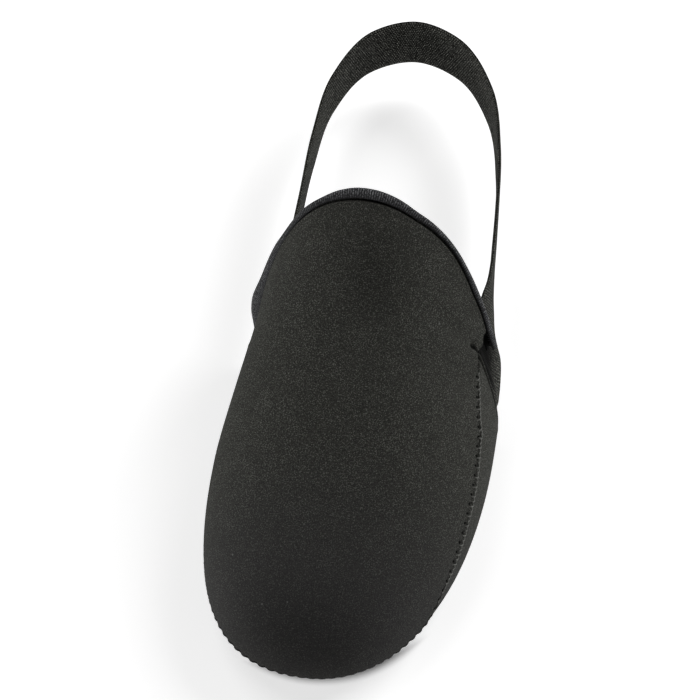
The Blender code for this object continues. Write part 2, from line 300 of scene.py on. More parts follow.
def tubes(draft: MeshDraft, paths: Array, radius: float, sides: int = 6, end_share: float = 0.45) -> None:
    """Adds many round threads at once, each a ring carried along its path and drawn in at the ends.

    Args:
        draft: Mesh to add to.
        paths: Points as threads by path steps.
        radius: Radius of the thread.
        sides: Even number of points round the thread.
        end_share: Share of the radius that is left at both ends.
    """
    along = unit(np.gradient(paths, axis=1))
    side = unit(np.cross(along, THREAD_LEAN))[:, :, None]
    rise = np.cross(side, along[:, :, None])
    turn = np.arange(sides) * FULL_TURN / sides
    thick = np.full(paths.shape[1], radius)
    thick[[0, -1]] *= end_share
    ring = np.cos(turn)[:, None] * side + np.sin(turn)[:, None] * rise
    points = paths[:, :, None] + thick[:, None, None] * ring
    run = run_length(paths, axis=1)[:, :, None]
    flat = np.stack(np.broadcast_arrays(turn * radius, run), axis=-1)
    draft.add_rings(draft.add_points(points, flat))


@dataclass(frozen=True)
class Side:
    """Outline of one side of the worn cover, and the rear edge of its sole panel."""

    sign: float
    width: float
    reach: float
    fullness: float
    waist: float
    collar: float
    bow: float
    panel_top: float
    panel_floor: float


@dataclass(frozen=True)
class Section:
    """One section of the cover: seam above the widest line, fullness of the flank, draw of its foot."""

    station: float
    seam: float
    flank: float
    draw_in: float = 0.0


@dataclass(frozen=True)
class CoverForm:
    """True shape of the worn cover over the front of the last.

    Stations run round the cover: -1 outer collar end, 0 outer ball, 0.5 toe tip, 1 inner ball and
    2 inner collar end. An angle of a right angle is the crown, 0 the widest line, and below it the
    section turns under the foot.
    """

    lateral: Side = Side(1, 58.6 * MM, 106 * MM, 2.05, 5.6 * MM, 137 * MM, 2.6, 127.4 * MM, 121.0 * MM)
    medial: Side = Side(-1, 53.4 * MM, 84 * MM, 2.50, 11 * MM, 155 * MM, 3.75, 154 * MM, 134 * MM)
    waist_run: float = 67 * MM
    tip_x: float = -3 * MM
    ball_x: float = -2 * MM
    ball_y: float = 95 * MM
    collar_x: float = -3.9 * MM
    collar_y: float = 168.6 * MM
    toe_crown: float = 58 * MM
    collar_crown: float = 96.8 * MM
    crown_roundness: float = 2.1
    widest: float = 10 * MM
    corner: float = 10 * MM
    toe_spring: float = 7 * MM
    spring_start: float = 64 * MM
    wall: float = 2.5 * MM
    gap: float = 0.3 * MM
    panel_end: float = 127 * MM
    nudge: float = 1e-4
    crown_angle: float = RIGHT_ANGLE - 0.02
    sections: tuple[Section, ...] = (
        Section(-1.00, 35.0 * MM, 1.91), Section(-0.70, 36.5 * MM, 1.74),
        Section(-0.40, 30.6 * MM, 1.65), Section(-0.05, 26.4 * MM, 1.75),
        Section(0.00, 25.2 * MM, 1.75), Section(0.03, 23.9 * MM, 1.75), Section(0.12, 20.3 * MM, 1.90),
        Section(0.22, 16.0 * MM, 2.00), Section(0.30, 10.6 * MM, 2.10), Section(0.345, 5.0 * MM, 2.10),
        Section(0.375, -0.3 * MM, 2.10), Section(0.42, -2.3 * MM, 2.10), Section(0.47, -4.6 * MM, 2.10),
        Section(0.50, -5.4 * MM, 2.10), Section(0.56, -5.0 * MM, 2.10), Section(0.62, -2.4 * MM, 2.10),
        Section(0.68, -0.9 * MM, 2.08), Section(0.74, -0.7 * MM, 2.06), Section(0.80, -1.3 * MM, 2.05),
        Section(1.00, 0.0 * MM, 2.00), Section(1.60, 0.6 * MM, 2.16, 0.03),
        Section(2.00, 1.0 * MM, 2.80, -0.10),
    )

    @cached_property
    def toe(self) -> tuple[Array, Array]:
        """Toe half of the outline as bearing and distance from the ball's centre, outer side first.

        Each side is a quarter of a superellipse between the toe tip and the ball.
        """
        turn = np.linspace(0, RIGHT_ANGLE, 200)
        xs = []
        ys = []
        for side, order in ((self.lateral, turn), (self.medial, turn[-2::-1])):
            power = 2 / side.fullness
            xs.append(lerp(self.tip_x, side.sign * side.width, np.cos(order) ** power))
            ys.append(side.reach * (1 - np.sin(order) ** power))
        x = np.concatenate(xs) - self.ball_x
        y = self.ball_y - np.concatenate(ys)
        bearing = np.arctan2(y, x)
        return np.where(bearing < -RIGHT_ANGLE, bearing + FULL_TURN, bearing), np.hypot(x, y)

    @cached_property
    def section_places(self) -> Array:
        """Distance along the outline of every section."""
        return self.edge_place(np.array([row.station for row in self.sections]))

    def edge_place(self, station: Array) -> Array:
        """Distance along the outline from the outer ball."""
        toe_run = np.pi * self.toe[1].mean()
        rear_lateral = self.lateral.reach - self.lateral.collar
        rear_medial = toe_run + self.medial.collar - self.medial.reach
        return np.interp(station, (-1, 0, 1, 2), (rear_lateral, 0, toe_run, rear_medial))

    def section_value(self, station: Array, name: str) -> Array:
        """One column of the sections' table, read along the outline."""
        column = [getattr(row, name) for row in self.sections]
        return smooth_table(self.edge_place(station), self.section_places, column)

    def half_width(self, side: Side, y: Array) -> Array:
        """Half width behind the ball, narrowing with the square of the distance."""
        return side.width - side.waist * ((y - side.reach) / self.waist_run) ** 2

    def rib(self, station: Array) -> tuple[Array, Array, Array, Array, Array]:
        """Ends of the section at each station.

        Args:
            station: Place round the cover.

        Returns:
            Outline point and crown point, each as x and y, and the run behind the ball from 0 to 1.
        """
        bearings, distances = self.toe
        run = np.maximum(np.maximum(-station, station - 1), 0)
        outer = station < 0.5
        bearing = lerp(bearings[0], bearings[-1], np.clip(station, 0, 1))
        distance = smooth_table(bearing, bearings, distances)
        sides = (self.lateral, self.medial)
        foot_y = np.where(outer, *(lerp(side.reach, side.collar, run) for side in sides))
        foot_x = np.where(outer, *(side.sign * self.half_width(side, foot_y) for side in sides))
        front = run <= 0
        foot_x = np.where(front, self.ball_x + distance * np.cos(bearing), foot_x)
        foot_y = np.where(front, self.ball_y - distance * np.sin(bearing), foot_y)
        crown_x = lerp(self.ball_x, self.collar_x, run)
        crown_y = lerp(self.ball_y, self.collar_y, run)
        return foot_x, foot_y, crown_x, crown_y, run

    def crown_height(self, y: Array) -> Array:
        """Height of the ridge line, rising with the square of the distance from the toe."""
        return self.toe_crown + (self.collar_crown - self.toe_crown) * (y / self.collar_y) ** 2

    def toe_lift(self, y: Array) -> Array:
        """Lift of the toe spring, with the square of the distance in front of its start."""
        return self.toe_spring * (np.maximum(self.spring_start - y, 0) / self.spring_start) ** 2

    def inward(self, station: Array) -> tuple[Array, Array]:
        """Plan direction square to the outline, pointing into the cover."""
        ahead = self.rib(station + self.nudge)
        behind = self.rib(station - self.nudge)
        along_x = ahead[0] - behind[0]
        along_y = ahead[1] - behind[1]
        length = np.hypot(along_x, along_y)
        return along_y / length, -along_x / length

    def rise_angle(self, station: Array, rise: Array) -> Array:
        """Section angle at a height above the widest line, or at a skin distance below it."""
        share = np.maximum(rise, 0) / (self.crown_height(self.rib(station)[1]) - self.widest)
        above = np.arcsin(share ** (self.section_value(station, "flank") / 2))
        return np.where(rise > 0, above, rise / self.corner)

    def seam_angle(self, station: Array) -> Array:
        """Section angle of the seam between upper and sole panel."""
        return self.rise_angle(station, self.section_value(station, "seam"))

    def skin(self, station: Array, angle: Array) -> Array:
        """Points of the cover's outer face.

        Above the widest line a section is a quarter of a rounded oval up to the crown, and below it a
        quarter turn into the flat underside.

        Args:
            station: Place round the cover.
            angle: Section angle.

        Returns:
            Points in the shoe's frame.
        """
        foot_x, foot_y, crown_x, crown_y, bend = self.rib(station)
        up = np.clip(angle, 0, RIGHT_ANGLE)
        out = np.cos(up) ** (2 / self.crown_roundness)
        high = np.sin(up) ** (2 / self.section_value(station, "flank"))
        out = out * (1 - self.section_value(station, "draw_in") * (1 - high) ** 2)
        bow = np.where(station < 0.5, self.lateral.bow, self.medial.bow)
        x = lerp(crown_x, foot_x, out)
        y = lerp(crown_y, foot_y, lerp(out, out**bow, bend))
        z = self.widest + (self.crown_height(y) - self.widest) * high
        down = np.clip(-angle, 0, RIGHT_ANGLE)
        inward_x, inward_y = self.inward(station)
        tuck = self.corner * (1 - np.cos(down))
        x = x + inward_x * tuck
        y = y + inward_y * tuck
        z = z - self.widest * np.sin(down)
        return np.stack([x, y, z + self.toe_lift(y)], axis=-1)

    def normal(self, station: Array, angle: Array) -> Array:
        """Outward direction of the skin, from its slopes along and up, taken just beside the crown."""
        angle = np.minimum(angle, self.crown_angle)
        along = self.skin(station + self.nudge, angle) - self.skin(station - self.nudge, angle)
        up = self.skin(station, angle + self.nudge) - self.skin(station, angle - self.nudge)
        return unit(np.cross(up, along))

    def seam_line(self, steps: int = 6001) -> tuple[Array, Array, Array]:
        """Seam from the outer to the inner collar end: stations, points and distance along it."""
        station = np.linspace(-1, 2, steps)
        points = self.skin(station, self.seam_angle(station))
        return station, points, run_length(points)

    def seam_run(self, station: Array) -> Array:
        """Distance along the seam from the outer collar end."""
        stations, _, runs = self.seam_line()
        return np.interp(station, stations, runs)

    def section_run(self, station: Array, angle: Array) -> Array:
        """Distance over the cloth along the section at each station, through its row of angles."""
        line = self.skin(np.broadcast_to(station[..., None], angle.shape), angle)
        return np.linalg.norm(np.diff(line, axis=-2), axis=-1).sum(-1)


@dataclass(frozen=True)
class FanGrid:
    """Square grid wrapped over the cover: rear rows lie across it and toe rings round the ball.

    Lines are drawn closer together beside the seam and beside the collar.
    """

    half_columns: int
    rear_rows: int
    seam_draw: float = 0.45
    rear_draw: float = 0.60

    def lines(self) -> tuple[Array, Array]:
        """Across values, 1 outer seam to -1 inner seam, and along values, 1 toe over 0 ball to -1 rear."""
        half = np.linspace(1, 0, self.half_columns + 1)
        half = half + self.seam_draw * half * (1 - half)
        across = np.concatenate([half, -half[-2::-1]])
        rear = np.linspace(0, 1, self.rear_rows + 1)[1:]
        rear = rear + self.rear_draw * rear * (1 - rear)
        return np.meshgrid(across, np.concatenate([half, -rear]))

    def fan(self) -> tuple[Array, Array]:
        """Share of the way from crown to seam, and the station, of every grid point.

        In the toe half square rings of the grid become round rings about the ball's centre.
        """
        across, along = self.lines()
        front = np.maximum(along, 0)
        share = np.maximum(np.abs(across), front)
        safe = np.where(share > 0, share, 1)
        side_turn = front / safe / 4
        station = np.where(across >= 0, side_turn, 1 - side_turn)
        station = np.where(front > np.abs(across), 0.5 - across / safe / 4, station)
        rear = np.maximum(-along, 0)
        return share, np.where(along < 0, np.where(across >= 0, -rear, 1 + rear), station)


@dataclass(frozen=True)
class Crease:
    """Soft trough, or ridge where the depth is negative, drawn along a run of points in millimetres."""

    run: tuple[Triple, ...]
    width: float
    depth: float
    steps: int = 33
    end: float = 0.02
    fade_power: float = 0.6

    def relief(self, points: Array) -> Array:
        """Height of the crease at each point: a bell across the run that fades towards its ends."""
        table = np.array(self.run) * MM
        place = np.linspace(0, 1, len(table))
        fine = smooth_table(np.linspace(0, 1, self.steps), place, table)
        start = fine[:-1]
        step = fine[1:] - start
        away = points[..., None, :] - start
        share = np.clip((away * step).sum(-1) / (step * step).sum(-1), 0, 1)
        gap = np.linalg.norm(away - share[..., None] * step, axis=-1)
        nearest = gap.argmin(axis=-1)
        distance = np.take_along_axis(gap, nearest[..., None], -1)[..., 0]
        along = (nearest + np.take_along_axis(share, nearest[..., None], -1)[..., 0]) / len(step)
        fade = np.sin(np.pi * np.clip(along, self.end, 1 - self.end)) ** self.fade_power
        return -self.depth * fade * hump(distance, 0, self.width)


@dataclass(frozen=True)
class Seam:
    """Overlock seam between the upper and the sole panel."""

    pitch: float = 4.0 * MM
    roll: float = 0.9 * MM
    lobe_reach: float = 2.6 * MM
    lobes: PairTable = (
        (-1.00, 0.20), (0.30, 0.20), (0.35, 0.75), (0.44, 0.75), (0.485, 0.12), (0.56, 0.12),
        (0.60, 0.70), (0.64, 0.85), (0.70, 0.85), (0.76, 0.35), (0.82, 0.15), (2.00, 0.15),
    )
    dent: float = 0.55 * MM
    dent_place: float = 1.7 * MM
    dent_spread: float = 0.75 * MM
    slant: float = 0.45
    first_stitch: float = -0.54
    sewn_blend: float = 0.06
    lobe_power: float = 0.7
    lobe_level: float = 0.65
    hole_along: float = 0.60 * MM
    hole_across: float = 1.05 * MM
    pinch: Crease = Crease(
        ((45.0, 134.0, 52.3), (46.3, 133.6, 50.0), (48.2, 132.9, 46.6)), 1.1 * MM, 0.5 * MM
    )

    def relief(self, distance: Array, phase: Array, station: Array, dented: bool) -> Array:
        """Height of the cloth beside the seam, relative to the smooth skin.

        The edge is a quarter round. Between stitches the cloth swells in lobes, the positive half of a
        sine with sharp notches at the stitches, and on the upper each needle pulls a small dent.

        Args:
            distance: Distance from the seam over the cloth.
            phase: Count of stitches along the seam.
            station: Place round the cover; the lobes are full at both corners of the toe.
            dented: Whether the needle goes in on this side.

        Returns:
            Height along the outward direction.
        """
        short = np.clip(self.roll - distance, 0, self.roll)
        height = -(self.roll - np.sqrt(np.maximum(self.roll**2 - short**2, 0)))
        sewn = smoothstep(self.first_stitch - self.sewn_blend, self.first_stitch, station)
        lobes = (np.abs(np.sin(np.pi * phase)) ** self.lobe_power - self.lobe_level) * sewn
        table = np.array(self.lobes)
        swell = np.interp(station, table[:, 0], table[:, 1] * MM)
        height = height + swell * lobes * hump(distance, 0, self.lobe_reach)
        if dented:
            skew = phase - self.slant * (distance - self.dent_place) / self.pitch
            off = (skew - np.round(skew)) * self.pitch
            pit = hump(off, 0, self.dent_spread) * hump(distance, self.dent_place, self.dent_spread * 1.2)
            height = height - self.dent * pit * sewn
        return height

    @staticmethod
    def marks(phase: Array, beside: Array, pit: Array) -> Marks:
        """Marks of a cloth face: stitch count and distance in millimetres, and strength of its painted
        shade.
        """
        return {Mark.STITCH: np.stack([phase, beside, np.zeros_like(phase)], axis=-1), Mark.PAINTED_SHADE: pit}


@dataclass(frozen=True)
class CollarRow:
    """Collar at one place along its edge, from -1 inner to 1 outer end, with sizes in millimetres.

    The groove is the distance of the tape's front edge from the collar edge, the rim how much further
    back than usual the tape reaches, and the rise how far it stands off the cloth.
    """

    across: float
    groove: float = 2.8
    rim: float = 0.0
    rise: float = 0.0


@dataclass(frozen=True)
class CollarLine:
    """Run of the collar: narrow at the sides, wide over the crown, standing off at the inner end."""

    rows: tuple[CollarRow, ...] = (
        CollarRow(-1.000, rise=0.3), CollarRow(-0.970, rise=2.4), CollarRow(-0.945, rise=3.7),
        CollarRow(-0.920, rise=4.25), CollarRow(-0.890, rise=4.35), CollarRow(-0.855, rise=3.7),
        CollarRow(-0.820, rise=2.95), CollarRow(-0.785, rise=2.4), CollarRow(-0.745, rise=2.05),
        CollarRow(-0.710, rise=1.8), CollarRow(-0.675, rise=1.55), CollarRow(-0.630, rise=1.15),
        CollarRow(-0.580, rise=0.5), CollarRow(-0.500, rim=-0.2, rise=0.1),
        CollarRow(-0.400, groove=2.9, rim=-0.7), CollarRow(-0.280, groove=3.0, rim=-1.1),
        CollarRow(-0.150, rim=-0.2), CollarRow(0.000, groove=2.4, rim=0.65),
        CollarRow(0.120, groove=2.5, rim=0.3), CollarRow(0.220, groove=2.7, rim=-0.4),
        CollarRow(0.320, rim=-1.0), CollarRow(0.420, groove=2.0, rim=-0.4),
        CollarRow(0.520, groove=1.1, rim=0.2), CollarRow(0.600, groove=0.8, rim=0.5),
        CollarRow(0.710, groove=1.2, rim=0.4), CollarRow(0.810, groove=2.0, rim=0.2),
        CollarRow(0.910, groove=2.0), CollarRow(1.000),
    )

    def value(self, across: Array, name: str) -> Array:
        """One column of the rows in metres, read along the collar."""
        places = [row.across for row in self.rows]
        return smooth_table(across, places, [getattr(row, name) * MM for row in self.rows])


@dataclass(frozen=True)
class ClothFinish:
    """Knit face over foam rubber: colours of yarn, of yarn at the toe and of flecks, and their share.

    The flecks and dark fibres are fewer at the toe, a painted shade for the lower light there; toe_end holds
    the places along the part between which they grow from their share at the toe to their whole number.
    """

    name: str
    yarn: Triple
    toe_yarn: Triple
    fleck: Triple
    fleck_share: float
    roughness: float = 0.97
    rough_swing: Pair = (-0.06, 0.05)
    sheen: float = 0.0
    wale: float = 0.7 * MM
    depth: float = 0.16 * MM
    tone: float = 0.14
    toe_end: Pair = (-0.135, -0.055)
    # Share of the grain kept at the toe, where shade is painted
    shaded_toe_grain: float = 0.45
    dark: Triple = (0.006, 0.006, 0.006)
    lint: Triple = (0.16, 0.16, 0.155)
    lint_amount: float = 0.05
    lint_share: float = 0.6
    # Strength of the painted shade in the needle holes
    needle_hole_shade: float = 0.92


@dataclass(frozen=True)
class WovenFinish:
    """Woven narrow goods: colours, thread spacing across and along, depth, tone and roughness."""

    name: str
    yarn: Triple
    fleck: Triple
    cord: float
    pick: float
    depth: float
    roughness: float = 0.90
    rough_swing: Pair = (0.12, -0.05)
    tone: float = 0.5


@dataclass(frozen=True)
class PlainFinish:
    """Small plain surface, such as sewing thread or the cut foam core."""

    name: str
    colour: Triple
    roughness: float
    grain: float
    depth: float
    lift: float = 2.2


UPPER_CLOTH = ClothFinish(
    name="foam_cloth_upper",
    yarn=(0.0418, 0.0423, 0.0376),
    toe_yarn=(0.0428, 0.0420, 0.0414),
    fleck=(0.225, 0.226, 0.204),
    fleck_share=0.46,
)
# Same foam cloth as the upper, painted lighter: painted light for the brightly lit flank the panel covers
SOLE_CLOTH_PAINTED_LIGHTER = ClothFinish(
    name="foam_cloth_sole",
    yarn=(0.0510, 0.0516, 0.0464),
    toe_yarn=(0.0518, 0.0516, 0.0514),
    fleck=(0.230, 0.231, 0.212),
    fleck_share=0.40,
)
LINING_CLOTH = ClothFinish(
    name="jersey_lining",
    yarn=(0.030, 0.030, 0.030),
    toe_yarn=(0.030, 0.030, 0.030),
    fleck=(0.080, 0.080, 0.080),
    fleck_share=0.35,
    roughness=0.95,
    sheen=0.05,
)
TAPE_WEAVE = WovenFinish(
    name="ribbed_tape",
    yarn=(0.0230, 0.0230, 0.0240),
    fleck=(0.360, 0.364, 0.376),
    cord=12.2 * MM,
    pick=0.93 * MM,
    depth=0.05 * MM,
)
BAND_WEAVE = WovenFinish(
    name="woven_elastic",
    yarn=(0.0090, 0.0092, 0.0080),
    fleck=(0.330, 0.332, 0.300),
    cord=1.30 * MM,
    pick=1.10 * MM,
    depth=0.30 * MM,
)
SEWING_THREAD = PlainFinish("sewing_thread", (0.105, 0.106, 0.098), 0.75, 0.25 * MM, 0.04 * MM)
FOAM_CORE = PlainFinish("foam_core", (0.014, 0.014, 0.014), 0.95, 0.5 * MM, 0.06 * MM)


class Graph:
    """Short hand for adding and linking the nodes of one node tree."""

    def __init__(self, tree: Tree) -> None:
        """Starts on a node tree."""
        self.tree = tree

    def node(self, kind: str, **settings: object) -> Node:
        """Adds a node of one kind and gives it its settings."""
        made = self.tree.nodes.new(kind)
        for name, value in settings.items():
            setattr(made, name, value)
        return made

    def feed(self, socket: Socket, value: object) -> None:
        """Links another socket to an input, or sets the input's own value."""
        if isinstance(value, Socket):
            self.tree.links.new(value, socket)
        elif isinstance(value, tuple) and len(value) == 3 and socket.type == "RGBA":
            socket.default_value = (*value, 1.0)
        else:
            socket.default_value = value

    def math(self, operation: str, *values: object) -> Socket:
        """Result of one sum on numbers or sockets."""
        made = self.node("ShaderNodeMath", operation=operation)
        for socket, value in zip(made.inputs, values):
            self.feed(socket, value)
        return made.outputs[0]

    def times(self, first: object, second: object) -> Socket:
        """Product of two numbers or sockets."""
        return self.math("MULTIPLY", first, second)

    def plus(self, first: object, second: object) -> Socket:
        """Sum of two numbers or sockets."""
        return self.math("ADD", first, second)

    def minus(self, first: object, second: object) -> Socket:
        """Difference of two numbers or sockets."""
        return self.math("SUBTRACT", first, second)

    def wave(self, operation: str, turns: object) -> Socket:
        """Sine or cosine of a number of whole turns."""
        return self.math(operation, self.times(turns, FULL_TURN))

    def split(self, vector: Socket) -> list[Socket]:
        """The three coordinates of a vector."""
        made = self.node("ShaderNodeSeparateXYZ")
        self.feed(made.inputs[0], vector)
        return list(made.outputs)

    def mark(self, mark: Mark) -> Node:
        """Reads a mark that the mesh keeps at its points."""
        return self.node("ShaderNodeAttribute", attribute_name=mark.value[0])

    def ramp(
        self, value: object, low: float, high: float, to_low: float = 0.0, to_high: float = 1.0
    ) -> Socket:
        """Value eased from to_low at low to to_high at high."""
        made = self.node("ShaderNodeMapRange", interpolation_type="SMOOTHSTEP", clamp=True)
        for socket, number in zip(made.inputs, (value, low, high, to_low, to_high)):
            self.feed(socket, number)
        return made.outputs[0]

    def mix(self, share: object, low: object, high: object) -> Socket:
        """Colour between two colours."""
        made = self.node("ShaderNodeMix", data_type="RGBA")
        self.feed(made.inputs[0], share)
        self.feed(made.inputs[6], low)
        self.feed(made.inputs[7], high)
        return made.outputs[2]

    def noise(self, place: object, scale: object, detail: float = 2.0) -> Socket:
        """Cloudy noise between 0 and 1."""
        made = self.node("ShaderNodeTexNoise", noise_dimensions="3D")
        return self.put(made, Vector=place, Scale=scale, Detail=detail).outputs["Fac"]

    def put(self, node: Node, **values: object) -> Node:
        """Feeds inputs of a node by name, with an underline for each blank."""
        for name, value in values.items():
            self.feed(node.inputs[name.replace("_", " ")], value)
        return node

    def group(self, tree: Tree, **inputs: object) -> Node:
        """Places a shared node group with its own values."""
        return self.put(self.node("ShaderNodeGroup", node_tree=tree), **inputs)


class Patterns:
    """Shared effects as shader node groups, each built once, with their noise in cells a metre."""

    fuzz: float = 1900.0
    fibres: float = 2500.0
    patches: float = 110.0
    woven_fuzz: float = 1700.0
    broad_clouds: float = 28.0
    small_clouds: float = 170.0
    specks: float = 210.0

    def __init__(self) -> None:
        """Builds the groups."""
        self.knit = self.build_knit()
        self.weave = self.build_weave()
        self.mottle = self.build_mottle()
        self.lint = self.build_lint()
        self.needle_holes = self.build_needle_holes()

    @staticmethod
    def start(
        name: str, inputs: dict[str, float | None], outputs: tuple[str, ...]
    ) -> tuple[Graph, dict[str, Socket], Node]:
        """Opens a new group.

        Args:
            name: Name of the group.
            inputs: Starting value of each number, and None for each vector.
            outputs: Names of the value outputs.

        Returns:
            Its graph, its inputs by name, and its output node.
        """
        tree = bpy.data.node_groups.new(name, "ShaderNodeTree")
        for label, value in inputs.items():
            kind = "NodeSocketVector" if value is None else "NodeSocketFloat"
            socket = tree.interface.new_socket(label, in_out="INPUT", socket_type=kind)
            if value is not None:
                socket.default_value = value
        for label in outputs:
            tree.interface.new_socket(label, in_out="OUTPUT", socket_type="NodeSocketFloat")
        graph = Graph(tree)
        entry = graph.node("NodeGroupInput")
        leave = graph.node("NodeGroupOutput")
        return graph, {label: entry.outputs[label] for label in inputs}, leave

    def build_knit(self) -> Tree:
        """Jersey face: slanted loop legs in rows and columns, broken up by loose fibres.

        A column is a wave across the cloth, and its courses are a wave along the cloth that is pushed
        back beside the column's middle, so that the legs form small arrows.
        """
        graph, given, leave = self.start(
            "knit_face", {"Flat": None, "Place": None, "Wale": 0.7 * MM}, ("Height", "Fleck", "Dark")
        )
        across, along, _ = graph.split(given["Flat"])
        column = graph.math("DIVIDE", across, given["Wale"])
        course = graph.math("DIVIDE", along, graph.times(given["Wale"], 0.8))
        beside = graph.math("ABSOLUTE", graph.minus(graph.math("FRACT", column), 0.5))
        legs = graph.wave("SINE", graph.plus(course, beside))
        ribs = graph.wave("COSINE", column)
        loops = graph.plus(graph.times(legs, 0.30), graph.times(ribs, 0.20))
        fuzz = graph.noise(given["Place"], self.fuzz)
        fibres = graph.noise(given["Place"], self.fibres, 0.0)
        patches = graph.noise(given["Place"], self.patches)
        bright = graph.ramp(graph.math("MULTIPLY_ADD", patches, 0.13, fibres), 0.625, 0.845)
        dark = graph.ramp(fibres, 0.30, 0.47, 0.50, 0.0)
        graph.put(leave, Height=graph.plus(loops, graph.times(fuzz, 1.1)), Fleck=bright, Dark=dark)
        return graph.tree

    def build_weave(self) -> Tree:
        """Narrow weave: round cords along the band, crossed by picks that alternate from cord to cord."""
        graph, given, leave = self.start(
            "narrow_weave",
            {"Flat": None, "Place": None, "Cord": 1.0 * MM, "Pick": 0.6 * MM},
            ("Height", "Fleck"),
        )
        across, along, _ = graph.split(given["Flat"])
        cord = graph.math("DIVIDE", across, given["Cord"])
        pick = graph.math("DIVIDE", along, given["Pick"])
        swap = graph.times(graph.math("FLOOR", cord), 0.5)
        crown = graph.math("ABSOLUTE", graph.math("SINE", graph.times(cord, np.pi)))
        wave = graph.wave("SINE", graph.plus(pick, swap))
        cross = graph.times(graph.math("MULTIPLY_ADD", wave, 0.5, 0.5), crown)
        fuzz = graph.noise(given["Place"], self.woven_fuzz)
        height = graph.math("MULTIPLY_ADD", crown, 0.6, graph.times(cross, 0.4))
        height = graph.math("MULTIPLY_ADD", fuzz, 0.25, height)
        lit = graph.times(cross, graph.ramp(fuzz, 0.35, 0.7))
        graph.put(leave, Height=height, Fleck=graph.times(lit, 0.9))
        return graph.tree

    def build_mottle(self) -> Tree:
        """Slow change of tone over a surface, one part of broad clouds to one of small ones."""
        graph, given, leave = self.start("slow_tone", {"Place": None, "Depth": 0.2}, ("Shade",))
        broad = graph.noise(given["Place"], self.broad_clouds)
        small = graph.noise(given["Place"], self.small_clouds, 3.0)
        swing = graph.minus(graph.plus(broad, small), 1.0)
        graph.put(leave, Shade=graph.math("MULTIPLY_ADD", swing, given["Depth"], 1.0))
        return graph.tree

    def build_lint(self) -> Tree:
        """Sparse specks of lint: small dots at random places, few cells holding one."""
        graph, given, leave = self.start("lint_specks", {"Place": None, "Amount": 0.2}, ("Speck",))
        cells = graph.node("ShaderNodeTexVoronoi", voronoi_dimensions="3D", feature="F1")
        graph.put(cells, Vector=given["Place"], Scale=self.specks)
        dot = graph.ramp(cells.outputs["Distance"], 0.06, 0.11, 1.0, 0.0)
        split = graph.node("ShaderNodeSeparateColor")
        graph.feed(split.inputs[0], cells.outputs["Color"])
        chosen = graph.math("LESS_THAN", split.outputs[0], given["Amount"])
        graph.put(leave, Speck=graph.times(dot, chosen))
        return graph.tree

    def build_needle_holes(self) -> Tree:
        """Painted shade in the needle holes: dark short dashes beside the seam, one for each stitch, leaning
        along the seam.
        """
        seam = Seam()
        graph, given, leave = self.start("needle_holes", {"Stitch": None}, ("Hole",))
        phase, distance, _ = graph.split(given["Stitch"])
        away = graph.minus(distance, seam.dent_place / MM)
        skew = graph.minus(phase, graph.times(away, seam.slant * MM / seam.pitch))
        off = graph.minus(graph.math("FRACT", graph.plus(skew, 0.5)), 0.5)
        along = graph.times(off, seam.pitch / seam.hole_along)
        across = graph.times(away, MM / seam.hole_across)
        reach = graph.plus(graph.times(along, along), graph.times(across, across))
        graph.put(leave, Hole=graph.ramp(reach, 0.50, 1.10, 1.0, 0.0))
        return graph.tree


